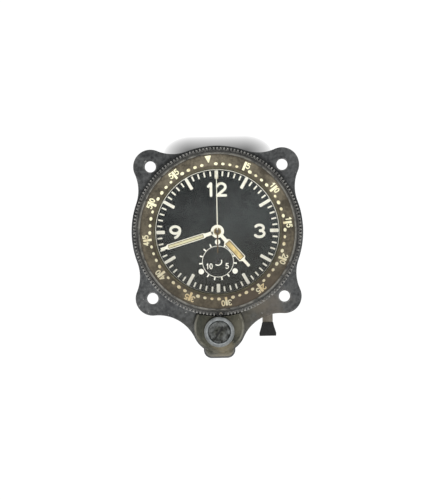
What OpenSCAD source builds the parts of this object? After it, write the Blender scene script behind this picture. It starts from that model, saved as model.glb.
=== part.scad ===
// Panel-mounted aircraft clock with a rotating minute bezel, a central sweep hand and a minute counter.
// Millimetres. X is to the right, Z is up towards 12 o'clock and the dial looks along -Y.
// The origin is on the dial axis, in the plane where the flange meets the instrument panel.
// Every piece is drawn facing the viewer, with its height measured forward from that plane.

/* [Flange] */
// Distance between neighbouring mounting holes
hole_pitch = 46; // [45:0.5:49]
// Diameter of a mounting hole
hole_d = 3.9; // [3:0.1:4.6]
// Radius of the ear round each mounting hole
ear_r = 6; // [5:0.1:7]
// Radius of the round part of the flange
flange_r = 30; // [29.8:0.1:31.5]
// Thickness of the flange
flange_t = 3; // [2.8:0.1:4]
// Radius of the hollow curves between the ears, the round part and the tongue
waist_r = 14; // [12:0.5:17]
// Radius of the tongue under the winding housing
tongue_r = 9.4; // [9.2:0.1:10.2]
// Rise of the middle of the tongue above the crown
tongue_rise = 1.8; // [1.4:0.1:2]
// Width of the nose at the foot of the tongue
nose_w = 11; // [9:0.1:12]
// Reach of the tongue from its middle to its foot
nose_reach = 11; // [10.6:0.1:12]
// Corner radius of the nose
nose_corner_r = 2.8; // [1.5:0.1:4]

/* [Case] */
// Radius of the plinth that the bezel turns above
plinth_r = 29.3; // [28.8:0.1:29.6]
// Wall left over the winding stem inside the plinth
plinth_cover = 0.7; // [0.6:0.1:1.5]
// Bore of the collar round the movement
collar_bore_r = 22.9; // [22.8:0.1:23.2]
// Outer radius of the rear can
can_r = 26.6; // [26:0.1:27.4]
// Wall of the rear can
can_wall = 0.95; // [0.8:0.05:1.2]
// Depth of the rear can behind the panel plane
can_depth = 18; // [16:0.5:24]
// Wall of the spigot that the can fits over
spigot_wall = 1; // [0.8:0.1:1.1]
// Length of the spigot
spigot_h = 4; // [3:0.5:6]
// Depth of the groove behind the flange that the can stands in
can_lap = 0.5; // [0.4:0.1:0.6]
// Width of the ring inside the can that takes the cover screws
can_ring_w = 4; // [3.6:0.1:5]
// Thickness of that ring
can_ring_t = 2.4; // [2:0.1:3.5]
// Thickness of the rear cover
cover_t = 1.2; // [1:0.1:2]
// Radius of the raised boss in the middle of the rear cover
cover_boss_r = 17; // [10:0.5:20]
// Height of that boss
cover_boss_h = 0.6; // [0.3:0.1:1]
// Thickness of the rear gasket
rear_gasket_t = 0.4; // [0.3:0.1:0.8]
// Number of rear cover screws
cover_screw_n = 4; // [3:1:6]
// Shank radius of a rear cover screw
cover_screw_r = 0.8; // [0.6:0.05:1]
// Head radius of a rear cover screw
cover_head_r = 1.5; // [1.3:0.1:1.7]

/* [Glass] */
// Width of the glass edge that its rings hold
glass_hold = 1.7; // [1.4:0.1:2]
// Wall of the collar round the glass
collar_wall = 3.15; // [2.8:0.05:3.4]
// Thickness of the glass
glass_t = 1.6; // [1.2:0.1:2.2]
// Thickness of the seal behind the glass
glass_gasket_t = 0.4; // [0.3:0.1:0.8]
// Thickness of the lip that the seal rests on
lip_t = 0.6; // [0.5:0.1:1]
// Height of the ring that holds the glass down
glass_ring_h = 1; // [0.8:0.1:1.6]

/* [Bezel] */
// Radius over the grip teeth
bezel_r = 29.3; // [29:0.1:29.5]
// Depth of a grip tooth
bezel_tooth_h = 1.1; // [0.6:0.1:1.3]
// Wall of the bezel from its bore to the foot of its teeth
bezel_wall = 1.65; // [1.4:0.05:1.9]
// Number of grip teeth
bezel_teeth = 150; // [90:10:180]
// Thickness of the bezel's front wall under the scale
bezel_front_t = 0.6; // [0.5:0.1:1]
// Thickness of the scale ring
scale_t = 0.7; // [0.5:0.1:1]
// Step from the opening out to the scale ring
scale_step = 0.8; // [0.6:0.1:1.2]
// Reach of the scale ring beyond the collar
scale_reach = 0.35; // [0.2:0.05:0.5]
// Rise of the scale ring from its inner to its outer edge
scale_rise = 0.45; // [0.2:0.05:0.6]
// Width of the rim outside the scale ring
bezel_rim_w = 0.45; // [0.3:0.05:0.6]
// Width of the notch that reaches the retaining ring
notch_w = 2.1; // [1.5:0.1:3]
// Turn of that notch from straight down
notch_turn = 1.3; // [-5:0.1:5]
// Thickness of the wire retaining ring
snap_t = 0.8; // [0.6:0.1:1]
// Radial width of the wire retaining ring
snap_w = 1; // [0.8:0.1:1.1]
// Gap in the wire retaining ring
snap_gap_angle = 16; // [10:1:40]

/* [Dial] */
// Reach of the dial beyond the opening
dial_reach = 0.6; // [0.4:0.1:1]
// Thickness of the dial
dial_t = 0.5; // [0.4:0.1:0.8]
// Height of the ring between the dial and the glass
rehaut_h = 2; // [1.9:0.1:3]
// Width of that ring
rehaut_w = 1.25; // [1.1:0.05:1.4]
// Distance of the minute counter below the dial axis
counter_drop = 10.5; // [10:0.1:11]

/* [Hands] */
// Thickness of a hand
hand_t = 0.25; // [0.2:0.05:0.3]
// Gap between one hand and the next
hand_gap = 0.3; // [0.25:0.05:0.4]
// Clock angle of the hour hand
hour_angle = 137.5; // [0:0.5:359]
// Distance of the hour hand's tip from the opening
hour_short = 5.2; // [3.6:0.1:8]
// Width of the hour hand
hour_w = 2.6; // [1.5:0.1:3.2]
// Clock angle of the minute hand
minute_angle = 254; // [0:0.5:359]
// Distance of the minute hand's tip from the opening
minute_short = 1.6; // [0.8:0.1:4]
// Width of the minute hand
minute_w = 1.85; // [1:0.05:2.4]
// Width of both hands at the tip
tip_w = 1; // [0.6:0.1:1]
// Distance of the sweep hand's tip from the opening
sweep_short = 0.6; // [0.4:0.1:4]
// Width of the sweep hand
sweep_w = 0.35; // [0.3:0.05:0.6]
// Length of the sweep hand's tail
sweep_tail = 7.5; // [5:0.1:8]
// Length of the counter hand
counter_len = 4.6; // [3:0.1:5]

/* [Winding housing] */
// Step from the edge of the tongue to the housing
housing_inset = 0.5; // [0.3:0.1:0.8]
// Rounding of the housing's shoulder
shoulder_r = 2.4; // [1:0.1:3]
// Roof of the housing round the crown sleeve
roof_t = 2.2; // [1.8:0.1:3]
// Height of the nose's outer edge above the tongue
nose_edge_h = 1.6; // [1:0.1:3]
// Shank radius of a housing screw
housing_screw_r = 0.8; // [0.6:0.05:0.9]
// Head radius of a housing screw
housing_head_r = 1.5; // [1.2:0.1:1.6]
// Distance of a housing screw from the middle
housing_screw_x = 6.2; // [6:0.1:6.6]

/* [Crown] */
// Gap between the bezel and the crown
crown_gap = 0.45; // [0.3:0.05:0.8]
// Radius of the crown
crown_r = 5.25; // [4.6:0.05:5.5]
// Height of the crown
crown_h = 4.2; // [3.4:0.1:5]
// Radius of the recess in the crown's face
crown_recess_r = 3.95; // [3.2:0.05:4.2]
// Depth of that recess
crown_recess_h = 1.3; // [1.1:0.1:1.8]
// Thickness of the slotted disc in the recess
crown_disc_t = 0.6; // [0.4:0.1:0.8]
// Length of the slot
slot_len = 4.5; // [3:0.1:6]
// Width of the slot
slot_w = 0.6; // [0.4:0.1:0.8]
// Turn of the slot, clockwise from upright
slot_turn = 33; // [0:1:180]
// Travel of the crown when it is pressed
crown_travel = 1.5; // [1:0.1:1.6]
// Outer radius of the crown sleeve
sleeve_r = 2.4; // [2.2:0.1:2.6]
// Radius of the crown shaft
shaft_r = 1.4; // [1.38:0.01:1.5]
// Width of the shaft's square
square_w = 1.9; // [1.6:0.05:1.94]
// Length of the crown spring at rest
crown_spring_h = 2.15; // [2.1:0.05:3]

/* [Setting lever] */
// Distance of the lever to the right of the dial axis
lever_x = 16.95; // [16.5:0.05:17.4]
// Width of the lever
lever_w = 3.6; // [2.6:0.1:3.8]
// Thickness of the lever
lever_t = 1.2; // [0.8:0.1:1.4]
// Distance of the grip below the foot of the ears
lever_show = 3; // [2.4:0.1:4]
// Length of the grip
grip_len = 4.8; // [4:0.1:7]
// Height of the straight foot of the grip
grip_foot_h = 1; // [0.6:0.1:1.6]
// Width of the grip at its foot
grip_w = 5.9; // [5:0.1:7]
// Thickness of the grip
grip_t = 2.6; // [2.2:0.1:2.9]
// Length of lever held inside the grip
grip_hold = 2.4; // [1.5:0.1:3]

/* [Movement] */
// Radius of the main plate
plate_r = 21.4; // [21.3:0.1:21.6]
// Thickness of the main plate
plate_t = 3; // [2.8:0.1:3.4]
// Height of the winding stem above the flange
stem_rise = 1.8; // [1.8:0.1:2.4]
// Space between the main plate and the dial
under_dial = 2.2; // [2.2:0.1:3]
// Space between the main plate and the bridges
train_space = 6.5; // [6.5:0.1:7.5]
// Thickness of the bridges
bridge_t = 1.8; // [1.5:0.1:2.4]
// Space between the bridges and the chronograph bridge
chrono_space = 3.6; // [3.6:0.1:4.5]
// Thickness of the chronograph bridge
chrono_bridge_t = 1.4; // [1.2:0.1:2]
// Radius of a plain arbor
arbor_r = 0.35; // [0.3:0.01:0.38]
// Depth of a pivot hole
pivot_depth = 1.2; // [0.8:0.1:1.4]
// Thickness of a train wheel
wheel_t = 0.5; // [0.4:0.05:0.6]
// Radius of a bridge foot
foot_r = 1.2; // [1:0.1:1.4]
// Head radius of a bridge screw
bridge_head_r = 1; // [0.8:0.1:1.1]
// Head height of a bridge screw
bridge_head_h = 0.6; // [0.4:0.1:0.8]
// Wall of the movement ring
ring_wall = 1.3; // [1.2:0.05:1.4]

/* [Going train] */
// Teeth of the barrel
barrel_n = 84; // [72:2:84]
// Leaves of the centre pinion
centre_pinion_n = 12; // [10:1:12]
// Module of the barrel and the centre pinion
barrel_m = 0.22; // [0.2:0.01:0.22]
// Teeth of the centre wheel
centre_n = 64; // [60:4:64]
// Leaves of the third pinion
third_pinion_n = 8; // [8:1:9]
// Module of the centre wheel and the third pinion
centre_m = 0.2; // [0.19:0.01:0.2]
// Teeth of the third wheel
third_n = 60; // [56:2:60]
// Leaves of the fourth pinion
fourth_pinion_n = 8; // [8:1:9]
// Module of the third wheel and the fourth pinion
third_m = 0.18; // [0.17:0.01:0.18]
// Teeth of the fourth wheel
fourth_n = 70; // [64:2:70]
// Leaves of the escape pinion
escape_pinion_n = 7; // [7:1:8]
// Module of the fourth wheel and the escape pinion
fourth_m = 0.15; // [0.14:0.01:0.15]
// Teeth of the escape wheel
escape_n = 15; // [12:1:18]
// Radius of the escape wheel
escape_r = 3; // [2.6:0.1:3.1]
// Height of the barrel drum
barrel_h = 3.6; // [3:0.1:3.7]
// Wall of the barrel drum
barrel_wall = 0.5; // [0.4:0.1:0.8]
// Radius of the barrel arbor
barrel_arbor_r = 1.2; // [1:0.1:1.4]
// Turns of the mainspring
mainspring_turns = 8; // [6:1:9]
// Thickness of the mainspring strip
mainspring_t = 0.22; // [0.15:0.01:0.25]

/* [Escapement] */
// Balance to the right of the dial axis
balance_x = 13; // [12.9:0.1:13.2]
// Balance below the dial axis
balance_drop = 3.8; // [3.6:0.1:4]
// Radius of the balance rim
balance_r = 6; // [5.4:0.1:6.1]
// Width of the balance rim
rim_w = 1; // [0.7:0.1:1.2]
// Thickness of the balance rim
rim_t = 1; // [0.7:0.1:1.1]
// Radius of the roller
roller_r = 1.3; // [1:0.1:1.4]
// Distance from the escape wheel's axis to the pallet axis
pallet_reach = 4.2; // [4.1:0.1:4.4]
// Clearance of the pallets from the escape teeth at mid swing
pallet_clear = 0.45; // [0.4:0.05:0.5]
// Turns of the hairspring
hairspring_turns = 4; // [3:1:5]
// Thickness of the hairspring strip
hairspring_t = 0.1; // [0.08:0.01:0.12]

/* [Motion work] */
// Leaves of the cannon pinion
cannon_n = 12; // [12:1:12]
// Teeth of the minute wheel
minute_n = 36; // [36:1:36]
// Module of the cannon pinion and the minute wheel
cannon_m = 0.25; // [0.24:0.01:0.26]
// Leaves of the minute pinion
minute_pinion_n = 10; // [10:1:10]
// Teeth of the hour wheel
hour_n = 40; // [40:1:40]
// Wall of each tube at the centre
tube_wall = 0.38; // [0.35:0.01:0.4]

/* [Chronograph] */
// Leaves of the pinion on the sweep arbor
sweep_pinion_n = 10; // [10:1:10]
// Teeth of the idler wheel
idler_n = 50; // [50:1:50]
// Module of the sweep pinion and the idler wheel
idler_m = 0.15; // [0.14:0.01:0.15]
// Leaves of the idler pinion
idler_pinion_n = 10; // [10:1:10]
// Teeth of the counter wheel
counter_n = 30; // [30:1:30]
// Radius of the chronograph wheel
chrono_wheel_r = 3.8; // [3:0.1:3.9]
// Largest radius of the heart on the sweep arbor
heart_r = 1.9; // [1.4:0.1:2.2]

/* [Winding train] */
// Module of the winding wheels
wind_m = 0.3; // [0.29:0.01:0.3]
// Teeth of the contrate wheel on the crown axis
contrate_n = 20; // [18:2:20]
// Leaves of the two pinions on the stem
stem_pinion_n = 10; // [10:1:10]
// Face teeth of the crown wheel
crown_face_n = 16; // [16:1:16]
// Edge teeth of the crown wheel
crown_wheel_n = 18; // [18:1:18]
// Teeth of the winding idler
wind_idler_n = 27; // [26:1:28]
// Teeth of the ratchet wheel
ratchet_n = 36; // [35:1:36]
// Radius of the winding stem
stem_r = 0.8; // [0.7:0.05:0.85]
// Width of the face teeth
face_tooth_w = 0.8; // [0.6:0.1:0.9]
// Length of the stem pinions
stem_pinion_w = 1.6; // [1.2:0.1:1.8]
// Thickness of the winding wheels
wind_t = 0.75; // [0.6:0.05:0.8]

/* [Clearances] */
// Radial clearance of a turning fit
run_fit = 0.05; // [0.03:0.01:0.08]
// Clearance between pieces that are seated together
seat_fit = 0.05; // [0.03:0.01:0.08]
// Clearance between moving pieces that pass each other
pass_gap = 0.3; // [0.25:0.05:0.4]

/* [Hidden] */
$fn = 72;
cut = 1;
tooth_add = 0.75;
tooth_ded = 1.1;
tooth_root_w = 0.46;
tooth_tip_w = 0.18;
arc_step = 4;
grip_sink = 0.25;

// Heights in front of the panel plane, from the flange forward
z_flange = flange_t;
z_stem = z_flange + stem_rise;
z_plinth = z_stem + stem_r + plinth_cover;
z_plate = z_stem + plate_t / 2;
z_plate_back = z_plate - plate_t;
z_dial_back = z_plate + under_dial;
z_dial = z_dial_back + dial_t;
z_lip = z_dial + rehaut_h;
z_lip_top = z_lip + lip_t;
z_glass = z_lip_top + glass_gasket_t;
z_glass_top = z_glass + glass_t;
z_collar = z_glass_top + glass_ring_h;
z_bezel = z_plinth + pass_gap;
z_bezel_under = z_collar + pass_gap;
z_scale = z_bezel_under + bezel_front_t;
z_bezel_top = z_scale + scale_t;
z_snap = z_bezel + 2.5;

// Heights behind it
z_bridge = z_plate_back - train_space;
z_bridge_back = z_bridge - bridge_t;
z_chrono = z_bridge_back - chrono_space;
z_cover = -can_depth - rear_gasket_t;

// Case radii
spigot_r = can_r - can_wall - seat_fit;
spigot_bore_r = spigot_r - spigot_wall;
collar_r = bezel_r - bezel_tooth_h - bezel_wall - run_fit;
glass_r = collar_r - collar_wall - seat_fit;
opening_r = glass_r - glass_hold;
dial_r = opening_r + dial_reach;
rehaut_r = opening_r + rehaut_w;
scale_in_r = opening_r + scale_step;
scale_out_r = collar_r + scale_reach;
hour_len = opening_r - hour_short;
minute_len = opening_r - minute_short;
sweep_len = opening_r - sweep_short;
crown_drop = max(bezel_r, plinth_r) + crown_gap + crown_r;
tongue_drop = crown_drop - tongue_rise;
nose_drop = tongue_drop + nose_reach;
glass_seat_r = glass_r + seat_fit;
bezel_bore_r = collar_r + run_fit;
bezel_root_r = bezel_r - bezel_tooth_h;
bezel_rim_r = scale_out_r + bezel_rim_w;
cover_screw_pitch_r = can_r - can_wall - can_ring_w / 2;
snap_in_r = bezel_bore_r - snap_w / 2;
snap_out_r = snap_in_r + snap_w;
ring_out_r = collar_bore_r - seat_fit;
ring_in_r = ring_out_r - ring_wall;
ring_flange_t = 1;
ring_flange_r = spigot_bore_r - seat_fit;
ring_shelf_w = 0.6;
dial_rest_w = 0.5;
dial_rest_t = 0.6;
ring_screw_r = 0.5;
ring_head_r = 0.85;
ring_screw_pitch_r = (collar_bore_r + spigot_bore_r) / 2;
ring_screw_angles = [30, 150, 210];
ring_screw_len = 2.4;
hole_places = [for (x = [-1, 1], y = [-1, 1]) [x, y] * hole_pitch / 2];
tongue_at = [0, -tongue_drop];
crown_at = [0, -crown_drop];

// Pitch radii
barrel_pr = barrel_n * barrel_m / 2;
centre_pinion_pr = centre_pinion_n * barrel_m / 2;
centre_pr = centre_n * centre_m / 2;
third_pinion_pr = third_pinion_n * centre_m / 2;
third_pr = third_n * third_m / 2;
fourth_pinion_pr = fourth_pinion_n * third_m / 2;
fourth_pr = fourth_n * fourth_m / 2;
escape_pinion_pr = escape_pinion_n * fourth_m / 2;
minute_reach = (cannon_n + minute_n) * cannon_m / 2;
hour_m = 2 * minute_reach / (minute_pinion_n + hour_n);
idler_reach = (sweep_pinion_n + idler_n) * idler_m / 2;
counter_m = 2 * (counter_drop - idler_reach) / (idler_pinion_n + counter_n);
contrate_pr = contrate_n * wind_m / 2;
stem_pinion_pr = stem_pinion_n * wind_m / 2;
crown_face_pr = crown_face_n * wind_m / 2;
crown_wheel_pr = crown_wheel_n * wind_m / 2;
wind_idler_pr = wind_idler_n * wind_m / 2;
ratchet_pr = ratchet_n * wind_m / 2;

// Places of the arbors, seen from the front
barrel_dir = 205;
third_dir = 75;
fourth_dir = 40;
escape_dir = -20;
minute_dir = 0;
barrel_at = polar(barrel_pr + centre_pinion_pr, barrel_dir);
third_at = polar(centre_pr + third_pinion_pr, third_dir);
fourth_at = third_at + polar(third_pr + fourth_pinion_pr, fourth_dir);
escape_at = fourth_at + polar(fourth_pr + escape_pinion_pr, escape_dir);
balance_at = [balance_x, -balance_drop];
pallet_dir = bearing(balance_at - escape_at);
pallet_at = escape_at + polar(pallet_reach, pallet_dir);
minute_at = polar(minute_reach, minute_dir);
counter_at = [0, -counter_drop];
idler_at = [0, -idler_reach];
crown_wheel_at = [0, -16];
stem_lower_at = -crown_drop + contrate_pr;
stem_upper_at = crown_wheel_at[1] - crown_face_pr;
idler_to_crown_wheel = crown_wheel_pr + wind_idler_pr;
idler_to_ratchet = wind_idler_pr + ratchet_pr;
wind_idler_at = meet(crown_wheel_at, idler_to_crown_wheel, barrel_at, idler_to_ratchet, 1);
click_at = barrel_at + polar(8.6, 100);
click_tip = barrel_at + polar(ratchet_pr + 0.65, 140);

// Heights of the wheels
z_wind = z_plate_back - 1.1;
z_centre_wheel = z_plate_back - 2.1;
third_wheel_depth = 3.9;
z_third_wheel = z_plate_back - third_wheel_depth;
z_escape_wheel = z_plate_back - 3.1;
z_barrel = z_bridge + 0.4;
z_fourth_wheel = z_bridge + 0.8;
z_rim = z_bridge + 0.8;
z_cannon = z_plate + 0.2;
z_hour_wheel = z_plate + 1.1;
z_idler_wheel = z_bridge_back - 0.9;
z_counter_wheel = z_bridge_back - 1.8;
z_chrono_wheel = z_bridge_back - 2.6;
z_heart = z_bridge_back - 3.3;
heart_t = 0.5;
counter_heart_r = 0.85 * heart_r;
pinion_over = 0.2;
barrel_tooth_h = 0.9;
drum_r = barrel_pr - barrel_m * tooth_ded;
mainspring_out_r = drum_r - barrel_wall - mainspring_t - run_fit;

// Winding work inside the housing and the plate
pinion_room = stem_pinion_pr + wind_m + pass_gap;
z_pinion_pocket = z_stem - pinion_room;
z_face_tip = z_stem - stem_pinion_pr + tooth_add * wind_m;
face_back_t = 0.25;
edge_teeth_t = wind_t - face_back_t;
face_sink = 0.1;
crown_hub_r = crown_wheel_pr - tooth_ded * wind_m - seat_fit;
stem_slot_end = stem_upper_at + stem_pinion_w / 2 + pass_gap;
stem_pivot_r = 0.4;
stem_tip = stem_upper_at + stem_pinion_w / 2 + 0.8;
stud_r = 0.6;
housing_head_seat = 1;
housing_head_h = 0.8;
housing_screw_hold = 3.4;
z_housing_screw_end = z_flange + housing_screw_hold;
housing_screw_len = z_housing_screw_end - housing_head_seat;
z_ring_shelf = z_plate_back - ring_flange_t;
ring_head_h = 0.5;

// Bridges
bridge_margin = 0.8;
bridge_r = plate_r - bridge_margin;
bridge_split = 2.8;
foot_margin = 1;
bridge_feet_r = bridge_r - foot_margin;
train_feet = [polar(bridge_feet_r, 100), polar(bridge_feet_r, 60), polar(bridge_feet_r, 22)];
barrel_feet = [polar(bridge_feet_r, 155), polar(bridge_feet_r, 255), polar(bridge_feet_r, 285)];
cock_foot = polar(bridge_feet_r, -50);
chrono_posts = [[-3, 8.5], [-7, -11], [2.5, -16.5]];
chrono_hub_r = 3;
chrono_arm_w = 4;
hairspring_r = 3.4;
bridge_screw_r = 0.5;
bridge_screw_hold = 3;
bridge_screw_len = bridge_t + bridge_screw_hold;
z_cock = z_bridge - 0.2;
cock_w = 3.6;
cock_end_r = 2.2;

// Hands
z_counter_hand = z_dial + 0.25;
z_hour_hand = z_counter_hand + hand_t + hand_gap;
z_minute_hand = z_hour_hand + hand_t + hand_gap;
z_sweep_hand = z_minute_hand + hand_t + hand_gap;
hub_r = 2.3;
sweep_hub_r = 0.9;
sweep_arbor_r = 0.35;
counter_arbor_r = 0.4;
minute_hub_r = 1.6;
centre_in_r = sweep_arbor_r + run_fit;
centre_out_r = centre_in_r + tube_wall;
cannon_in_r = centre_out_r + run_fit;
cannon_out_r = cannon_in_r + tube_wall;
hour_in_r = cannon_out_r + run_fit;
hour_out_r = hour_in_r + tube_wall;

// Crown and winding heights
z_contrate_teeth = z_stem + stem_pinion_pr - tooth_add * wind_m;
z_contrate = z_stem + stem_pinion_pr + tooth_ded * wind_m;
z_contrate_top = z_contrate + wind_t;
z_sleeve = z_contrate_top + crown_spring_h + 2 * seat_fit;
z_roof = z_sleeve - 0.4;
z_housing = z_roof + roof_t;
z_crown = z_housing + crown_travel + 1;
z_crown_recess = z_crown + crown_h - crown_recess_h;
crown_edge = 0.4;
z_square_top = z_sleeve - 0.2;
z_shaft_foot = z_flange - 0.1;
z_hub_foot = z_shaft_foot - crown_travel - 0.1;
contrate_hub_r = 1.75;
shaft_hold = 1.2;
housing_h = z_housing - z_flange;
housing_r = tongue_r - housing_inset;
z_lever = (flange_t - lever_t) / 2;
lever_inner = -18;
grip_lip = 0.1;
grip_top = hole_pitch / 2 + ear_r + lever_show;
tang_w = lever_w - 1.4;

// Materials as seen
dark_metal = [0.27, 0.28, 0.28];
olive_metal = [0.42, 0.4, 0.33];
steel = [0.62, 0.63, 0.64];
brass = [0.72, 0.58, 0.3];
cream = [0.9, 0.87, 0.72];
black = [0.1, 0.1, 0.1];

// Helpers for places and angles
function polar(r, a) = r * [cos(a), sin(a)];
function bearing(v) = atan2(v[1], v[0]);
// Point at distance ra from a and rb from b, on the left of the way from a to b for side 1
function meet(a, ra, b, rb, side) =
    let (
        d = norm(b - a),
        u = (b - a) / d,
        t = (ra * ra - rb * rb + d * d) / (2 * d),
        h = sqrt(ra * ra - t * t)
    )
    a + t * u + side * h * [-u[1], u[0]];
// Clock angle, clockwise from 12, as a drawing angle
function clock(a) = 90 - a;

// Gear outline with a tooth centred at angle phase
function gear_points(n, m, phase) =
    [for (i = [0 : n - 1], k = [
        [-tooth_root_w / 2, -tooth_ded], [-tooth_tip_w / 2, tooth_add],
        [tooth_tip_w / 2, tooth_add], [tooth_root_w / 2, -tooth_ded]
    ]) polar(n * m / 2 + k[1] * m, phase + 360 / n * (i + k[0]))];
// Phase of a gear of n teeth whose gap faces a tooth of its partner, which lies towards angle a
function gap_phase(n, a) = a + 180 / n;
// Spiral strip, inner radius to outer radius
function spiral(r0, r1, turns, a0) =
    let (steps = turns * 24)
    [for (i = [0 : steps]) polar(r0 + (r1 - r0) * i / steps, a0 + 360 * turns * i / steps)];
function reversed(list) = [for (i = [len(list) - 1 : -1 : 0]) list[i]];

// Turns a piece drawn facing the viewer upright, so that its front looks along -Y
module face() { rotate([90, 0, 0]) children(); }
module at(p, z = 0) { translate([p[0], p[1], z]) children(); }
module disc(r, z0, z1) { translate([0, 0, z0]) cylinder(r = r, h = z1 - z0); }
module tube(r_in, r_out, z0, z1) {
    difference() {
        disc(r_out, z0, z1);
        disc(r_in, z0 - cut, z1 + cut);
    }
}
module gear(n, m, phase, z0, z1) {
    translate([0, 0, z0]) linear_extrude(z1 - z0) polygon(gear_points(n, m, phase));
}
// Wheel with round lightening holes
module light_wheel(n, m, phase, z0, t, holes, hub) {
    pr = n * m / 2;
    hole_r = (pr - tooth_ded * m - hub) * 0.36;
    difference() {
        gear(n, m, phase, z0, z0 + t);
        for (i = [0 : holes - 1])
            at(polar((pr - tooth_ded * m + hub) / 2, 360 / holes * i)) disc(hole_r, z0 - cut, z0 + t + cut);
    }
}
// Face teeth on a ring, pointing from z_root to z_tip
module face_teeth(n, pr, phase, z_root, z_tip) {
    pitch = 2 * PI * pr / n;
    for (i = [0 : n - 1])
        rotate(phase + 360 / n * i) translate([pr - face_tooth_w / 2, 0, 0]) rotate([90, 0, 90])
            linear_extrude(face_tooth_w) polygon([
                [-pitch * tooth_root_w / 2, z_root], [pitch * tooth_root_w / 2, z_root],
                [pitch * tooth_tip_w / 2, z_tip], [-pitch * tooth_tip_w / 2, z_tip]
            ]);
}
module plain_arbor(p, r = arbor_r) { at(p) disc(r, z_bridge - pivot_depth, z_plate_back + pivot_depth); }
module pivot_hole(p, r, z0, z1) { at(p) disc(r + run_fit, z0, z1); }
module screw(shank_r, head_r, z_head, head_h, shank_len) {
    difference() {
        union() {
            disc(head_r, z_head - head_h, z_head);
            disc(shank_r, z_head - cut / 10, z_head + shank_len);
        }
        translate([-head_r - cut, -head_r / 8, z_head - head_h - cut])
            cube([2 * (head_r + cut), head_r / 4, cut + head_h / 2]);
    }
}

// Flange outline: round part, ears, tongue and nose, joined by hollow curves that meet them smoothly
function full_turn(a) = a - 360 * floor(a / 360);
// Points of an arc from the bearing of p to the bearing of q, without its first point
function arc(c, r, p, q, way) =
    let (
        a0 = bearing(p - c),
        a1 = way * full_turn(way * (bearing(q - c) - a0)),
        steps = ceil(abs(a1) / arc_step)
    )
    [for (i = [1 : steps]) c + polar(r, a0 + a1 * i / steps)];
function touch(c, r, f) = c + r * (f - c) / norm(f - c);
function flange_half() =
    let (
        o = [0, 0],
        top_ear = hole_places[3],
        low_ear = hole_places[2],
        f1 = meet(o, flange_r + waist_r, top_ear, ear_r + waist_r, 1),
        f2 = meet(o, flange_r + waist_r, top_ear, ear_r + waist_r, -1),
        f3 = meet(o, flange_r + waist_r, low_ear, ear_r + waist_r, 1),
        f4 = meet(low_ear, ear_r + waist_r, tongue_at, tongue_r + waist_r, 1),
        half = nose_w / 2,
        neck = [half, -tongue_drop - sqrt(tongue_r * tongue_r - half * half)],
        corner = [half - nose_corner_r, -nose_drop + nose_corner_r],
        top = [0, flange_r],
        foot = [corner[0], -nose_drop],
        t1 = touch(o, flange_r, f1),
        t2 = touch(top_ear, ear_r, f1),
        t3 = touch(top_ear, ear_r, f2),
        t4 = touch(o, flange_r, f2),
        t5 = touch(o, flange_r, f3),
        t6 = touch(low_ear, ear_r, f3),
        t7 = touch(low_ear, ear_r, f4),
        t8 = touch(tongue_at, tongue_r, f4)
    )
    concat(
        [top], arc(o, flange_r, top, t1, -1), arc(f1, waist_r, t1, t2, 1), arc(top_ear, ear_r, t2, t3, -1),
        arc(f2, waist_r, t3, t4, 1), arc(o, flange_r, t4, t5, -1), arc(f3, waist_r, t5, t6, 1),
        arc(low_ear, ear_r, t6, t7, -1), arc(f4, waist_r, t7, t8, 1), arc(tongue_at, tongue_r, t8, neck, -1),
        [corner + [nose_corner_r, 0]],
        arc(corner, nose_corner_r, corner + [nose_corner_r, 0], foot, -1)
    );
module flange_outline() {
    right = flange_half();
    polygon(concat(right, [for (i = [len(right) - 1 : -1 : 1]) [-right[i][0], right[i][1]]]));
}

module case_flange() color(dark_metal) face() difference() {
    union() {
        difference() {
            union() {
                linear_extrude(flange_t) flange_outline();
                disc(plinth_r, 0, z_plinth);
                disc(collar_r, 0, z_collar);
            }
            disc(can_r + seat_fit, -cut, can_lap);
        }
        disc(spigot_r, -spigot_h, can_lap + cut);
    }
    disc(spigot_bore_r, -spigot_h - cut, 0);
    disc(collar_bore_r, -cut, z_dial_back);
    disc(rehaut_r + seat_fit, z_dial_back - cut, z_lip);
    disc(opening_r, 0, z_collar + cut);
    disc(glass_seat_r, z_lip_top, z_collar + cut);
    for (p = hole_places) at(p) disc(hole_d / 2, -cut, flange_t + cut);
    tube(snap_in_r - pass_gap / 2, collar_r + cut, z_snap - pass_gap / 2, z_snap + snap_t + pass_gap / 2);
    stem_bar(stem_r + run_fit, -plinth_r - cut, 0);
    at(crown_at) disc(contrate_hub_r + run_fit, z_hub_foot - seat_fit, flange_t + cut);
    translate([-pinion_room, stem_lower_at - stem_pinion_w / 2 - pass_gap, z_pinion_pocket])
        cube([2 * pinion_room, stem_pinion_w + 2 * pass_gap, z_plinth + cut]);
    for (s = [-1, 1]) at([s * housing_screw_x, -tongue_drop]) {
        disc(housing_screw_r + seat_fit, -cut, flange_t + cut);
        disc(housing_head_r + seat_fit, -cut, housing_head_seat);
    }
    ring_screw_places() disc(ring_screw_r + seat_fit, -cut, ring_screw_len + seat_fit);
    translate([lever_x - lever_w / 2 - seat_fit, -nose_drop, z_lever - seat_fit])
        cube([lever_w + 2 * seat_fit, nose_drop + lever_inner + pass_gap, lever_t + 2 * seat_fit]);
}
module ring_screw_places() { for (a = ring_screw_angles) at(polar(ring_screw_pitch_r, a)) children(); }

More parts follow.
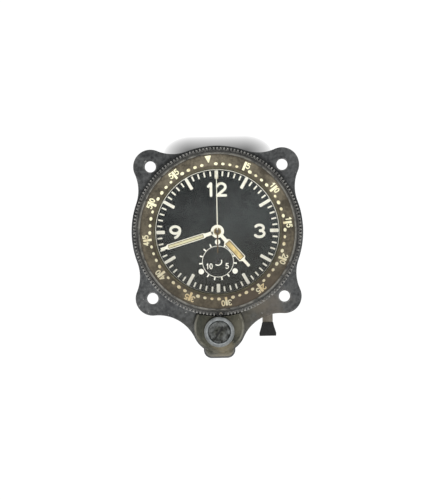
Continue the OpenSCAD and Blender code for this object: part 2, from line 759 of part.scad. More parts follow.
module can() color(dark_metal) face() {
    tube(can_r - can_wall, can_r, -can_depth, can_lap);
    difference() {
        tube(can_r - can_wall - can_ring_w, can_r - can_wall + seat_fit, -can_depth, -can_depth + can_ring_t);
        cover_screw_places() disc(cover_screw_r + seat_fit, -can_depth - cut, cut);
    }
}
module cover_screw_places() {
    for (i = [0 : cover_screw_n - 1]) at(polar(cover_screw_pitch_r, 45 + 360 / cover_screw_n * i)) children();
}
module rear_gasket() color(black) face() difference() {
    tube(can_r - can_wall - can_ring_w, can_r, z_cover, -can_depth);
    cover_screw_places() disc(cover_screw_r + seat_fit, z_cover - cut, 0);
}
module rear_cover() color(dark_metal) face() difference() {
    union() {
        disc(can_r, z_cover - cover_t, z_cover);
        disc(cover_boss_r, z_cover - cover_t - cover_boss_h, z_cover);
    }
    cover_screw_places() disc(cover_screw_r + seat_fit, z_cover - cover_t - cut, 0);
    disc(cover_boss_r - cover_t, z_cover - cover_boss_h, z_cover + cut);
}
module rear_cover_screws() color(steel) face() cover_screw_places()
    screw(cover_screw_r, cover_head_r, z_cover - cover_t, cover_boss_h, cover_t + rear_gasket_t + can_ring_t);

// Winding housing: a round boss with a sloping nose, hollow for the winding gears
module winding_housing() color(olive_metal) face() difference() {
    union() {
        at(tongue_at, z_flange) rotate_extrude() polygon(concat(
            [[0, 0], [housing_r, 0]],
            [for (a = [0 : 15 : 90]) [housing_r - shoulder_r, housing_h - shoulder_r] + polar(shoulder_r, a)],
            [[0, housing_h]]
        ));
        nose_body();
    }
    disc(plinth_r + seat_fit, 0, z_plinth + pass_gap);
    disc(bezel_r + pass_gap, z_plinth, z_housing + cut);
    at(crown_at) disc(contrate_pr + face_tooth_w, z_flange - cut, z_roof);
    at(crown_at) disc(sleeve_r + run_fit, 0, z_housing + cut);
    translate([-pinion_room, -crown_drop, z_flange - cut])
        cube([2 * pinion_room, contrate_pr + stem_pinion_w / 2 + pass_gap, z_contrate - z_flange + cut]);
    stem_bar(stem_r + run_fit, -crown_drop, 0);
    for (s = [-1, 1]) at([s * housing_screw_x, -tongue_drop])
        disc(housing_screw_r + seat_fit, 0, z_housing_screw_end + seat_fit);
}
module nose_body() {
    half = nose_w / 2 - housing_inset;
    c = nose_corner_r - housing_inset;
    hull() for (s = [-1, 1]) {
        at([s * (half - c), -nose_drop + housing_inset + c], z_flange)
            cylinder(r = c, h = nose_edge_h, $fn = 32);
        at([s * (half - c), -crown_drop - crown_r], z_flange)
            cylinder(r = c, h = housing_h - shoulder_r, $fn = 32);
    }
}
module housing_screws() color(steel) face() for (s = [-1, 1]) at([s * housing_screw_x, -tongue_drop])
    screw(housing_screw_r, housing_head_r, housing_head_seat, housing_head_h, housing_screw_len);

module glass() color([0.8, 0.88, 0.88, 0.35]) face() disc(glass_r, z_glass, z_glass_top);
module glass_gasket() color(black) face() tube(opening_r, glass_r, z_lip_top, z_glass);
module glass_ring() color(black) face() tube(opening_r, glass_r, z_glass_top, z_collar);
module rehaut_ring() color(black) face() tube(opening_r, rehaut_r, z_dial, z_lip);
module dial() color([0.2, 0.21, 0.21]) face() difference() {
    disc(dial_r, z_dial_back, z_dial);
    disc(hour_out_r + pass_gap / 2, z_dial_back - cut, z_dial + cut);
    at(counter_at) disc(counter_arbor_r + pass_gap / 2, z_dial_back - cut, z_dial + cut);
}

// Ring that centres the movement in the collar and carries the dial
module movement_ring() color(brass) face() difference() {
    union() {
        tube(ring_in_r, ring_out_r, 0, z_dial_back);
        tube(min(ring_in_r, dial_r - dial_rest_w), ring_out_r, z_dial_back - dial_rest_t, z_dial_back);
        tube(ring_in_r, ring_flange_r, -ring_flange_t, 0);
        tube(ring_in_r - ring_shelf_w, ring_in_r + seat_fit, z_ring_shelf, z_plate_back - seat_fit);
    }
    stem_bar(stem_r + pass_gap, -collar_bore_r - cut, 0);
    ring_screw_places() disc(ring_screw_r + seat_fit, -ring_flange_t - cut, cut);
}
module movement_screws() color(steel) face() ring_screw_places()
    screw(ring_screw_r, ring_head_r, -ring_flange_t, ring_head_h, ring_flange_t + ring_screw_len);

// Main plate with the pivot holes, the stem slot and the studs of the winding idler and the click
module main_plate() color(brass) face() {
    difference() {
        disc(plate_r, z_plate_back, z_plate);
        disc(centre_out_r + run_fit, z_plate_back - cut, z_plate + cut);
        at(counter_at) disc(counter_arbor_r + run_fit, z_plate_back - cut, z_plate + cut);
        for (p = [third_at, fourth_at, escape_at, pallet_at, balance_at, crown_wheel_at])
            pivot_hole(p, arbor_r, z_plate_back - cut, z_plate_back + pivot_depth + seat_fit);
        pivot_hole(barrel_at, barrel_arbor_r, z_plate_back - cut, z_plate_back + pivot_depth + seat_fit);
        at(crown_wheel_at)
            disc(crown_wheel_pr + wind_m + pass_gap, z_plate_back - cut, z_face_tip + pass_gap / 2);
        translate([-pinion_room, -plate_r - cut, z_plate_back - cut])
            cube([2 * pinion_room, stem_slot_end + plate_r + cut, plate_t + 2 * cut]);
        stem_bar(stem_pivot_r + run_fit, -plate_r, stem_tip + seat_fit);
    }
    at(minute_at) disc(arbor_r, z_plate - cut, z_dial_back - pass_gap / 2);
    for (p = [wind_idler_at, click_at]) at(p) disc(stud_r, z_wind - pass_gap / 2, z_plate);
}

// Bridges: the line between them runs across the way from the centre to the barrel
module bridge_side(dir) {
    start = dir > 0 ? bridge_split + pass_gap / 2 : bridge_split - pass_gap / 2 - 2 * bridge_r;
    rotate(barrel_dir) translate([start, -bridge_r, z_bridge_back - cut])
        cube([2 * bridge_r, 2 * bridge_r, bridge_t + 2 * cut]);
}
module foot(p) { at(p) disc(foot_r, z_bridge_back, z_plate_back); }
module train_bridge() color(brass) face() difference() {
    union() {
        difference() {
            intersection() {
                disc(bridge_r, z_bridge_back, z_bridge);
                bridge_side(-1);
            }
            at(balance_at) disc(balance_r + 1, z_bridge_back - cut, z_bridge + cut);
            translate([centre_pr - 1, -bridge_r, z_bridge_back - cut])
                cube([bridge_r, bridge_r + 2, bridge_t + 2 * cut]);
            translate([-bridge_r, -2 * bridge_r - idler_reach - 3, z_bridge_back - cut])
                cube([2 * bridge_r, 2 * bridge_r, bridge_t + 2 * cut]);
        }
        for (p = train_feet) foot(p);
    }
    disc(centre_out_r + run_fit, z_bridge_back - cut, z_bridge + cut);
    for (p = [third_at, fourth_at, escape_at, pallet_at])
        pivot_hole(p, arbor_r, z_bridge - pivot_depth - seat_fit, z_bridge + cut);
    pivot_hole(idler_at, arbor_r, z_bridge_back - cut, z_bridge_back + pivot_depth + seat_fit);
    for (p = train_feet) bridge_screw_hole(p);
}
module barrel_bridge() color(brass) face() difference() {
    union() {
        intersection() {
            disc(bridge_r, z_bridge_back, z_bridge);
            bridge_side(1);
        }
        for (p = barrel_feet) foot(p);
    }
    pivot_hole(barrel_at, barrel_arbor_r, z_bridge - pivot_depth - seat_fit, z_bridge + cut);
    pivot_hole(crown_wheel_at, arbor_r, z_bridge - pivot_depth - seat_fit, z_bridge + cut);
    at(counter_at) disc(counter_arbor_r + pass_gap, z_bridge_back - cut, z_bridge + cut);
    for (p = barrel_feet) bridge_screw_hole(p);
}
module balance_cock() color(brass) face() difference() {
    union() {
        foot(cock_foot);
        for (p = [cock_foot, balance_at]) at(p) disc(cock_end_r, z_bridge_back, z_cock);
        at(cock_foot) rotate(bearing(balance_at - cock_foot)) translate([0, -cock_w / 2, z_bridge_back])
            cube([norm(balance_at - cock_foot), cock_w, z_cock - z_bridge_back]);
    }
    pivot_hole(balance_at, arbor_r, z_bridge - pivot_depth - seat_fit, z_bridge + cut);
    bridge_screw_hole(cock_foot);
}
module bridge_screw_hole(p) {
    at(p) disc(bridge_screw_r + seat_fit, z_bridge_back - cut, z_bridge_back + bridge_screw_len + seat_fit);
}
module bridge_screws() color(steel) face() for (p = concat(train_feet, barrel_feet, [cock_foot])) at(p)
    screw(bridge_screw_r, bridge_head_r, z_bridge_back, bridge_head_h, bridge_screw_len);
module chrono_bridge() color(brass) face() difference() {
    union() {
        for (p = chrono_posts) at(p) disc(foot_r, z_chrono, z_bridge_back);
        for (p = chrono_posts) at(p) disc(foot_r + 1, z_chrono - chrono_bridge_t, z_chrono);
        disc(chrono_hub_r, z_chrono - chrono_bridge_t, z_chrono);
        translate([0, 0, z_chrono - chrono_bridge_t]) linear_extrude(chrono_bridge_t) polygon(chrono_posts);
        translate([-chrono_arm_w / 2, -counter_drop, z_chrono - chrono_bridge_t])
            cube([chrono_arm_w, counter_drop, chrono_bridge_t]);
    }
    disc(sweep_arbor_r + run_fit, z_chrono - pivot_depth, z_chrono + cut);
    pivot_hole(idler_at, arbor_r, z_chrono - pivot_depth, z_chrono + cut);
    at(counter_at) disc(counter_arbor_r + run_fit, z_chrono - pivot_depth, z_chrono + cut);
}

// Bezel
module grip_teeth() {
    tooth = 360 / bezel_teeth;
    translate([0, 0, z_bezel + 0.4]) linear_extrude(z_scale - z_bezel - 0.8) difference() {
        polygon([for (i = [0 : bezel_teeth - 1], k = [[0, bezel_r], [0.5, bezel_root_r - grip_sink]])
            polar(k[1], tooth * (i + k[0]))]);
        circle(bezel_bore_r + 0.6);
    }
}
module bezel() color(dark_metal) face() difference() {
    union() {
        rotate_extrude() polygon([
            [bezel_bore_r, z_bezel], [bezel_root_r, z_bezel], [bezel_root_r, z_scale],
            [bezel_rim_r, z_bezel_top], [scale_out_r + seat_fit, z_bezel_top],
            [scale_out_r + seat_fit, z_scale], [scale_in_r, z_scale - scale_rise],
            [scale_in_r, z_bezel_under], [bezel_bore_r, z_bezel_under]
        ]);
        grip_teeth();
    }
    tube(cut, snap_out_r + seat_fit, z_snap - seat_fit, z_snap + snap_t + seat_fit);
    rotate(notch_turn) translate([-notch_w / 2, -bezel_r - cut, z_bezel - cut])
        cube([notch_w, bezel_r + cut - scale_out_r - seat_fit * 2, z_bezel_top - z_bezel + 2 * cut]);
}
module bezel_scale() color([0.38, 0.34, 0.27]) face() rotate_extrude() polygon([
    [scale_in_r, z_scale - scale_rise], [scale_out_r, z_scale],
    [scale_out_r, z_bezel_top], [scale_in_r, z_bezel_top - scale_rise]
]);
module bezel_snap_ring() color(steel) face() rotate(-90 + notch_turn + snap_gap_angle / 2)
    rotate_extrude(angle = 360 - snap_gap_angle) polygon([
        [snap_in_r, z_snap], [snap_out_r, z_snap], [snap_out_r, z_snap + snap_t], [snap_in_r, z_snap + snap_t]
    ]);

// Baton hand with a narrow neck and a narrow tip
module baton(len, w, hub, bore, z0) {
    neck = hub * 0.55;
    start = hub + 2;
    tip = len - 2.9;
    taper = 0.6;
    difference() {
        union() {
            disc(hub, z0, z0 + hand_t);
            translate([0, 0, z0]) linear_extrude(hand_t) polygon([
                [0, -neck / 2], [start, -neck / 2], [start + taper, -w / 2],
                [tip - taper, -w / 2], [tip, -tip_w / 2], [len, -tip_w / 2],
                [len, tip_w / 2], [tip, tip_w / 2], [tip - taper, w / 2],
                [start + taper, w / 2], [start, neck / 2], [0, neck / 2]
            ]);
        }
        disc(bore, z0 - cut, z0 + hand_t + cut);
    }
}
module hour_hand() color(cream) face() rotate(clock(hour_angle))
    baton(hour_len, hour_w, hub_r, hour_out_r + seat_fit, z_hour_hand);
module minute_hand() color(cream) face() rotate(clock(minute_angle))
    baton(minute_len, minute_w, hub_r, cannon_out_r + seat_fit, z_minute_hand);
module sweep_hand() color(cream) face() difference() {
    union() {
        disc(sweep_hub_r, z_sweep_hand, z_sweep_hand + hand_t);
        translate([-sweep_w / 2, 0, z_sweep_hand]) cube([sweep_w, sweep_len, hand_t]);
        translate([0, 0, z_sweep_hand]) linear_extrude(hand_t)
            polygon([[-sweep_w, 0], [-sweep_w / 2, -sweep_tail], [sweep_w / 2, -sweep_tail], [sweep_w, 0]]);
    }
    disc(sweep_arbor_r + seat_fit, z_sweep_hand - cut, z_sweep_hand + hand_t + cut);
}
module counter_hand() color(black) face() at(counter_at) difference() {
    union() {
        disc(sweep_hub_r, z_counter_hand, z_counter_hand + hand_t);
        translate([0, 0, z_counter_hand]) linear_extrude(hand_t)
            polygon([
                [-sweep_w, -1.4], [sweep_w, -1.4], [0.15, counter_len], [-0.15, counter_len]
            ]);
    }
    disc(counter_arbor_r + seat_fit, z_counter_hand - cut, z_counter_hand + hand_t + cut);
}

// Motion work under the dial
module cannon_pinion() color(steel) face() difference() {
    union() {
        gear(cannon_n, cannon_m, minute_dir, z_cannon, z_cannon + 0.7);
        disc(cannon_out_r, z_cannon, z_minute_hand + hand_t);
    }
    disc(cannon_in_r, z_cannon - cut, z_minute_hand + hand_t + cut);
}
module minute_wheel() color(brass) face() at(minute_at) difference() {
    union() {
        light_wheel(
            minute_n, cannon_m, gap_phase(minute_n, minute_dir + 180), z_cannon + 0.1, wheel_t, 5, minute_hub_r
        );
        gear(minute_pinion_n, hour_m, minute_dir + 180, z_cannon + 0.1, z_hour_wheel + wheel_t + 0.1);
    }
    disc(arbor_r + run_fit, z_plate - cut, z_dial_back + cut);
}
module hour_wheel() color(brass) face() difference() {
    union() {
        light_wheel(
            hour_n, hour_m, gap_phase(hour_n, minute_dir), z_hour_wheel, wheel_t, 5, hour_out_r + 0.2
        );
        disc(hour_out_r, z_hour_wheel, z_hour_hand + hand_t);
    }
    disc(hour_in_r, z_hour_wheel - cut, z_hour_hand + hand_t + cut);
}

// Chronograph wheels behind the bridges
module chrono_wheel() color(steel) face() {
    disc(sweep_arbor_r, z_chrono - pivot_depth + seat_fit, z_sweep_hand + hand_t);
    gear(sweep_pinion_n, idler_m, -90, z_idler_wheel - 0.1, z_idler_wheel + wheel_t + 0.1);
    disc(chrono_wheel_r, z_chrono_wheel, z_chrono_wheel + wheel_t);
    heart(heart_r);
}
module heart(r) {
    translate([0, 0, z_heart]) linear_extrude(heart_t)
        polygon([for (a = [0 : 15 : 345]) polar(r * (0.45 + 0.55 * abs(a - 180) / 180), a + 90)]);
}
module counter_idler() color(brass) face() at(idler_at) {
    disc(arbor_r, z_chrono - pivot_depth + seat_fit, z_bridge_back + pivot_depth);
    light_wheel(idler_n, idler_m, gap_phase(idler_n, 90), z_idler_wheel, wheel_t, 5, 1.4);
    gear(idler_pinion_n, counter_m, -90, z_counter_wheel - 0.1, z_counter_wheel + wheel_t + 0.1);
}
module counter_wheel() color(brass) face() at(counter_at) {
    disc(counter_arbor_r, z_chrono - pivot_depth + seat_fit, z_counter_hand + hand_t);
    light_wheel(counter_n, counter_m, gap_phase(counter_n, 90), z_counter_wheel, wheel_t, 5, 1.2);
    heart(counter_heart_r);
}

// Going train
module centre_wheel() color(brass) face() difference() {
    union() {
        disc(centre_out_r, z_bridge_back, z_cannon + 1.6);
        light_wheel(centre_n, centre_m, third_dir, z_centre_wheel, wheel_t, 5, 1.8);
        gear(
            centre_pinion_n, barrel_m, gap_phase(centre_pinion_n, barrel_dir),
            z_barrel - pinion_over / 2, z_barrel + barrel_tooth_h + pinion_over
        );
    }
    disc(centre_in_r, z_bridge_back - cut, z_cannon + 1.6 + cut);
}
module third_wheel() color(brass) face() {
    plain_arbor(third_at);
    at(third_at) {
        gear(
            third_pinion_n, centre_m, gap_phase(third_pinion_n, third_dir + 180),
            z_centre_wheel - pinion_over, z_centre_wheel + wheel_t + pinion_over
        );
        light_wheel(third_n, third_m, fourth_dir, z_third_wheel, wheel_t, 5, 1.4);
    }
}
module fourth_wheel() color(brass) face() {
    plain_arbor(fourth_at);
    at(fourth_at) {
        gear(
            fourth_pinion_n, third_m, gap_phase(fourth_pinion_n, fourth_dir + 180),
            z_third_wheel - pinion_over, z_third_wheel + wheel_t + pinion_over
        );
        light_wheel(fourth_n, fourth_m, escape_dir, z_fourth_wheel, wheel_t, 5, 1.4);
    }
}
module escape_wheel() color(steel) face() {
    plain_arbor(escape_at);
    at(escape_at) {
        gear(
            escape_pinion_n, fourth_m, gap_phase(escape_pinion_n, escape_dir + 180),
            z_fourth_wheel - pinion_over, z_fourth_wheel + wheel_t + pinion_over
        );
        translate([0, 0, z_escape_wheel]) linear_extrude(wheel_t) polygon([
            for (i = [0 : escape_n - 1], k = [[0, 1], [0.18, 1], [0.45, 0.78], [0.95, 0.72]])
                polar(k[1] * escape_r, 360 / escape_n * (i + k[0]))
        ]);
    }
}
// Pallet fork, drawn with the escape wheel above and the balance below
module pallet_fork() color(steel) face() {
    stone_r = escape_r + pallet_clear;
    stone = [stone_r * sin(48), pallet_reach - stone_r * cos(48)];
    fork_len = norm(balance_at - pallet_at) - roller_r - pass_gap;
    plain_arbor(pallet_at);
    at(pallet_at, z_escape_wheel) rotate(pallet_dir + 90) linear_extrude(wheel_t) {
        circle(0.8);
        polygon([[-0.4, 0], [0.4, 0], [0.25, -fork_len], [-0.25, -fork_len]]);
        for (s = [-1, 1]) polygon([
            [0, -0.7], [s * (stone[0] + 0.5), stone[1] - 0.4], [s * (stone[0] + 0.35), stone[1] + 0.1],
            [s * stone[0], stone[1]], [s * (stone[0] - 0.2), stone[1] - 0.35], [0, -0.05]
        ]);
    }
}
module balance_wheel() color(brass) face() {
    plain_arbor(balance_at);
    at(balance_at) {
        tube(balance_r - rim_w, balance_r, z_rim, z_rim + rim_t);
        disc(1, z_rim, z_rim + rim_t);
        translate([-balance_r + rim_w / 2, -0.5, z_rim + 0.2]) cube([2 * balance_r - rim_w, 1, rim_t - 0.4]);
        disc(roller_r, z_escape_wheel - 0.1, z_escape_wheel + wheel_t + 0.1);
    }
}
module strip(points_in, t, z0, z1) {
    outer = [for (p = points_in) p * (1 + t / norm(p))];
    translate([0, 0, z0]) linear_extrude(z1 - z0) polygon(concat(points_in, reversed(outer)));
}
module hairspring() color(steel) face() at(balance_at)
    strip(spiral(arbor_r + seat_fit, hairspring_r, hairspring_turns, 0), hairspring_t, z_rim - 0.5, z_rim - 0.15);
module barrel() color(brass) face() at(barrel_at) difference() {
    union() {
        gear(barrel_n, barrel_m, barrel_dir + 180, z_barrel, z_barrel + barrel_tooth_h);
        disc(drum_r, z_barrel, z_barrel + barrel_h);
    }
    disc(drum_r - barrel_wall, z_barrel + barrel_wall, z_barrel + barrel_h - barrel_wall);
    disc(barrel_arbor_r + run_fit, z_barrel - cut, z_barrel + barrel_h + cut);
}
module mainspring() color(steel) face() at(barrel_at)
    strip(
        spiral(barrel_arbor_r + 2 * run_fit, mainspring_out_r, mainspring_turns, 0), mainspring_t,
        z_barrel + barrel_wall + pass_gap, z_barrel + barrel_h - barrel_wall - pass_gap
    );
module barrel_arbor() color(steel) face() at(barrel_at)
    disc(barrel_arbor_r, z_bridge - pivot_depth, z_plate_back + pivot_depth);

// Winding train
module ratchet_wheel() color(steel) face() at(barrel_at) difference() {
    gear(ratchet_n, wind_m, ratchet_phase(), z_wind, z_wind + wind_t);
    disc(barrel_arbor_r + seat_fit, z_wind - cut, z_wind + wind_t + cut);
}
function crown_wheel_phase() = bearing(wind_idler_at - crown_wheel_at);
function wind_idler_phase() = gap_phase(wind_idler_n, bearing(crown_wheel_at - wind_idler_at));
function ratchet_phase() =
    let (a = bearing(barrel_at - wind_idler_at))
    gap_phase(ratchet_n, a + 180) - (wind_idler_phase() - a) * wind_idler_n / ratchet_n;
module winding_idler() color(steel) face() at(wind_idler_at) difference() {
    light_wheel(wind_idler_n, wind_m, wind_idler_phase(), z_wind, edge_teeth_t, 4, 1.2);
    disc(stud_r + run_fit, z_wind - cut, z_wind + wind_t + cut);
}
module crown_wheel() color(steel) face() {
    plain_arbor(crown_wheel_at);
    at(crown_wheel_at) {
        gear(crown_wheel_n, wind_m, crown_wheel_phase(), z_wind, z_wind + edge_teeth_t);
        translate([0, 0, z_wind + edge_teeth_t])
            cylinder(r1 = crown_hub_r, r2 = crown_face_pr + face_tooth_w / 2, h = face_back_t);
        face_teeth(crown_face_n, crown_face_pr, -90, z_wind + wind_t - face_sink, z_face_tip);
    }
}
module click() color(steel) face() difference() {
    reach = norm(click_tip - click_at);
    at(click_at, z_wind) rotate(bearing(click_tip - click_at)) linear_extrude(wind_t) {
        circle(1.2);
        polygon([[0, -1.1], [reach, -0.15], [reach, 0.25], [0, 1.1]]);
    }
    at(click_at) disc(stud_r + run_fit, z_wind - cut, z_wind + wind_t + cut);
}
module stem_bar(r, y0, y1) {
    translate([0, y0, z_stem]) rotate([-90, 0, 0]) cylinder(r = r, h = y1 - y0);
}
module stem_pinion(y, phase) {
    translate([0, y - stem_pinion_w / 2, z_stem]) rotate([-90, 0, 0]) linear_extrude(stem_pinion_w)
        polygon(gear_points(stem_pinion_n, wind_m, phase));
}
module winding_stem() color(steel) face() {
    stem_bar(stem_r, stem_lower_at, stem_upper_at);
    stem_bar(stem_pivot_r, stem_upper_at, stem_tip);
    stem_pinion(stem_lower_at, gap_phase(stem_pinion_n, -90));
    stem_pinion(stem_upper_at, gap_phase(stem_pinion_n, 90));
}
module contrate_wheel() color(brass) face() at(crown_at) difference() {
    union() {
        disc(contrate_pr + face_tooth_w / 2, z_contrate, z_contrate_top);
        face_teeth(contrate_n, contrate_pr, 90, z_contrate + cut / 10, z_contrate_teeth);
        disc(contrate_hub_r, z_hub_foot, z_contrate_top);
    }
    square_bar(square_w + 2 * seat_fit, z_hub_foot - cut, z_contrate_top + cut);
}

module square_bar(w, z0, z1) { translate([-w / 2, -w / 2, z0]) cube([w, w, z1 - z0]); }

// Crown, pressed to work the sweep hand and turned to wind
module crown() color([0.55, 0.57, 0.57]) face() at(crown_at) difference() {
    rotate_extrude() polygon([
        [0, z_crown], [crown_r - crown_edge, z_crown],
        [crown_r, z_crown + crown_edge], [crown_r, z_crown + crown_h - crown_edge],
        [crown_r - crown_edge, z_crown + crown_h], [crown_recess_r, z_crown + crown_h],
        [crown_recess_r, z_crown_recess], [0, z_crown_recess]
    ]);
    disc(shaft_r + seat_fit, z_crown - cut, z_crown + shaft_hold + seat_fit);
}
module crown_disc() color([0.32, 0.33, 0.34]) face() at(crown_at, z_crown_recess) difference() {
    disc(crown_recess_r - seat_fit, 0, crown_disc_t);
    rotate(-slot_turn) translate([-slot_w / 2, -slot_len / 2, crown_disc_t / 2])
        cube([slot_w, slot_len, crown_disc_t]);
}
module crown_shaft() color(steel) face() at(crown_at) {
    disc(shaft_r, z_square_top, z_crown + shaft_hold);
    square_bar(square_w, z_shaft_foot, z_square_top + seat_fit);
}
module crown_sleeve() color(brass) face() at(crown_at)
    tube(shaft_r + run_fit, sleeve_r, z_sleeve, z_crown - seat_fit);
module crown_spring() color(steel) face() at(crown_at)
    tube(shaft_r + 2 * run_fit, sleeve_r - run_fit, z_contrate_top + seat_fit, z_sleeve - seat_fit);

// Lever that is pulled out to set the hands, with a narrow tang inside the grip
module setting_lever() color([0.4, 0.36, 0.28]) face() {
    translate([lever_x - lever_w / 2, -grip_top, z_lever]) cube([lever_w, grip_top + lever_inner, lever_t]);
    translate([lever_x - tang_w / 2, -grip_top - grip_hold, z_lever])
        cube([tang_w, grip_hold + seat_fit, lever_t]);
}
module lever_grip() color(black) face() difference() {
    translate([lever_x, -grip_top, (flange_t - grip_t) / 2]) linear_extrude(grip_t) polygon([
        [-lever_w / 2 - grip_lip, 0], [lever_w / 2 + grip_lip, 0], [grip_w / 2, grip_foot_h - grip_len],
        [grip_w / 2, -grip_len], [-grip_w / 2, -grip_len], [-grip_w / 2, grip_foot_h - grip_len]
    ]);
    translate([lever_x - tang_w / 2 - seat_fit, -grip_top - grip_hold - seat_fit, z_lever - seat_fit])
        cube([tang_w + 2 * seat_fit, grip_hold + cut, lever_t + 2 * seat_fit]);
}

case_flange();
can();
rear_cover();
rear_gasket();
rear_cover_screws();
winding_housing();
housing_screws();
glass();
glass_gasket();
glass_ring();
rehaut_ring();
dial();
movement_ring();
movement_screws();
main_plate();
train_bridge();
barrel_bridge();
balance_cock();
chrono_bridge();
bridge_screws();
bezel();
bezel_scale();
bezel_snap_ring();
hour_hand();
hour_wheel();
minute_hand();
cannon_pinion();
minute_wheel();
sweep_hand();
chrono_wheel();
counter_idler();
counter_wheel();
counter_hand();
centre_wheel();
third_wheel();
fourth_wheel();
escape_wheel();
pallet_fork();
balance_wheel();
hairspring();
barrel();
mainspring();
barrel_arbor();
ratchet_wheel();
click();
winding_idler();
crown_wheel();
winding_stem();
contrate_wheel();
crown();
crown_disc();
crown_shaft();
crown_sleeve();
crown_spring();
setting_lever();
lever_grip();
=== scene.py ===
# %% [markdown]
# # An aircraft clock, dressed over its CAD part
# The CAD part gives every piece its size and place. This script adds what solids can't hold: paint worn at
# the edges, luminous marks turned brown, a hazy glass and a soft light. Each cell prints what it made.

import math

import bmesh
import bpy
from mathutils import Matrix, Vector


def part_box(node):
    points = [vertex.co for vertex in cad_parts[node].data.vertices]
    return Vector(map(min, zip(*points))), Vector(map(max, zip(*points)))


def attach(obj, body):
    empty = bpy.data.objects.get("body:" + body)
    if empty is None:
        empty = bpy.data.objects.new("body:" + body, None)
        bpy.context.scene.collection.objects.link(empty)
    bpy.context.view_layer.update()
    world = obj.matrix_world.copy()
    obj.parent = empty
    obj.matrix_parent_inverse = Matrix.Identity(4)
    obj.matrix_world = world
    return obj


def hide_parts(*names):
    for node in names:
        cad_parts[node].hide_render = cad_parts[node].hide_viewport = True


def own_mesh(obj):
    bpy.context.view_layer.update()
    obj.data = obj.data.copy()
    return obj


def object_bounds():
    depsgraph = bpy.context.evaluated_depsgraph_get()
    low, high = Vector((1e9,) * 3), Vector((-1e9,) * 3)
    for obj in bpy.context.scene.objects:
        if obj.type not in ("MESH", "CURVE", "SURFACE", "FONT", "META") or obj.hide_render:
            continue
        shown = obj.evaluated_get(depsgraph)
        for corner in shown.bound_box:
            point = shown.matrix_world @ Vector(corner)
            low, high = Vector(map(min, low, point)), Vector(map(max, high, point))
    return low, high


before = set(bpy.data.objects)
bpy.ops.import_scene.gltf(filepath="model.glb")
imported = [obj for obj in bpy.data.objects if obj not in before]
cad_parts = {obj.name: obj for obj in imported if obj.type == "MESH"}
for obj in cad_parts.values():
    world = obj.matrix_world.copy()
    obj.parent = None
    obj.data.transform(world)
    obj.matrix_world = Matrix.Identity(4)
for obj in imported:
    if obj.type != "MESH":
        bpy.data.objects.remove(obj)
cad_low, cad_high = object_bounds()
MM = 0.001

# %% [markdown]
# ## Working in face coordinates
# The clock is drawn as a watchmaker sees it: x right, y up towards 12, z towards the eye, in millimetres. One
# matrix stands a drawing upright, so the dial looks along -Y. Heights and radii are read from the CAD nodes,
# so a piece sits where the solid it dresses sits. World axes would do too, but every outline would then be in
# x and z with depth as a minus y, which is easy to get wrong.

# %% Helpers for places
FACE = Matrix(((MM, 0, 0, 0), (0, 0, -MM, 0), (0, MM, 0, 0), (0, 0, 0, 1)))


def depth(node):
    """Heights of a node's back and front, in mm ahead of the panel plane."""
    low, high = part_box(node)
    return -high.y / MM, -low.y / MM


def back(node):
    return depth(node)[0]


def front(node):
    return depth(node)[1]


def radius(node):
    """Half of a node's width, in mm."""
    low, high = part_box(node)
    return (high.x - low.x) / 2 / MM


def middle(node):
    """Face x and y of the middle of a node, in mm."""
    low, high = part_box(node)
    return (low.x + high.x) / 2 / MM, (low.z + high.z) / 2 / MM


def polar(r, a):
    """Face x and y at radius r and drawing angle a in degrees."""
    return r * math.cos(math.radians(a)), r * math.sin(math.radians(a))


def clock_turn(angle):
    """Turns a piece drawn along +y to a clock angle."""
    return Matrix.Rotation(math.radians(-angle), 4, "Z")


def arc(cx, cy, rx, ry, a0, a1, n):
    """Points of an elliptic arc between two drawing angles."""
    steps = [math.radians(a0 + (a1 - a0) * i / n) for i in range(n + 1)]
    return [(cx + rx * math.cos(a), cy + ry * math.sin(a)) for a in steps]


def circle(cx, cy, r, n):
    """Points of a full circle, each of them once."""
    return arc(cx, cy, r, r, 0, 360, n)[:-1]


def mirrored(right, x=0):
    """A right-hand outline and its mirror image about x."""
    return [(x + u, v) for u, v in right] + [(x - u, v) for u, v in right[::-1]]


DIAL = front("dial")
GLASS = front("glass")
COUNTER = middle("counter_hand")[0], -10.5
CROWN = middle("crown")
print(f"dial at {DIAL:.2f} mm, glass at {GLASS:.2f} mm")

# %% [markdown]
# ## From a drawing to a piece
# A drawing becomes a mesh and then an object at the origin, which rides a CAD body, has a paint slot and may
# stand in for a CAD node. The object could be moved into place instead, but patterns in its paint would slide
# when it is baked at the origin, so the place goes into the mesh.

# %% Helpers for pieces
SMOOTH = 35


def new_object(name, data):
    """Links an object at the origin."""
    made = bpy.data.objects.new(name, data)
    bpy.context.scene.collection.objects.link(made)
    return made


def evaluated(maker):
    """The real mesh that an object's settings make; the object itself goes."""
    dg = bpy.context.evaluated_depsgraph_get()
    mesh = bpy.data.meshes.new_from_object(maker.evaluated_get(dg))
    bpy.data.objects.remove(maker)
    return mesh


def to_mesh(name, bm):
    """Ends a drawing, with its faces turned outward."""
    bmesh.ops.recalc_face_normals(bm, faces=bm.faces)
    mesh = bpy.data.meshes.new(name)
    bm.to_mesh(mesh)
    bm.free()
    return mesh


def join(bm, mesh):
    """Takes a mesh up into a drawing."""
    bm.from_mesh(mesh)
    bpy.data.meshes.remove(mesh)
    return bm


def add_piece(name, mesh, body, node=None, smooth=SMOOTH):
    """Shades a mesh, lets it ride a CAD body and stand in for a CAD node."""
    mesh.shade_smooth()
    mesh.set_sharp_from_angle(angle=math.radians(smooth))
    piece = new_object(name, mesh)
    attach(piece, body)
    if node:
        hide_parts(node)
    return piece


def add_mesh(name, bm, body, mat, node=None, smooth=SMOOTH, move=Matrix()):
    """Turns a face drawing into a piece."""
    mesh = to_mesh(name, bm)
    mesh.transform(FACE @ move)
    mesh.materials.append(mat)
    return add_piece(name, mesh, body, node, smooth)


print("piece helpers ready")

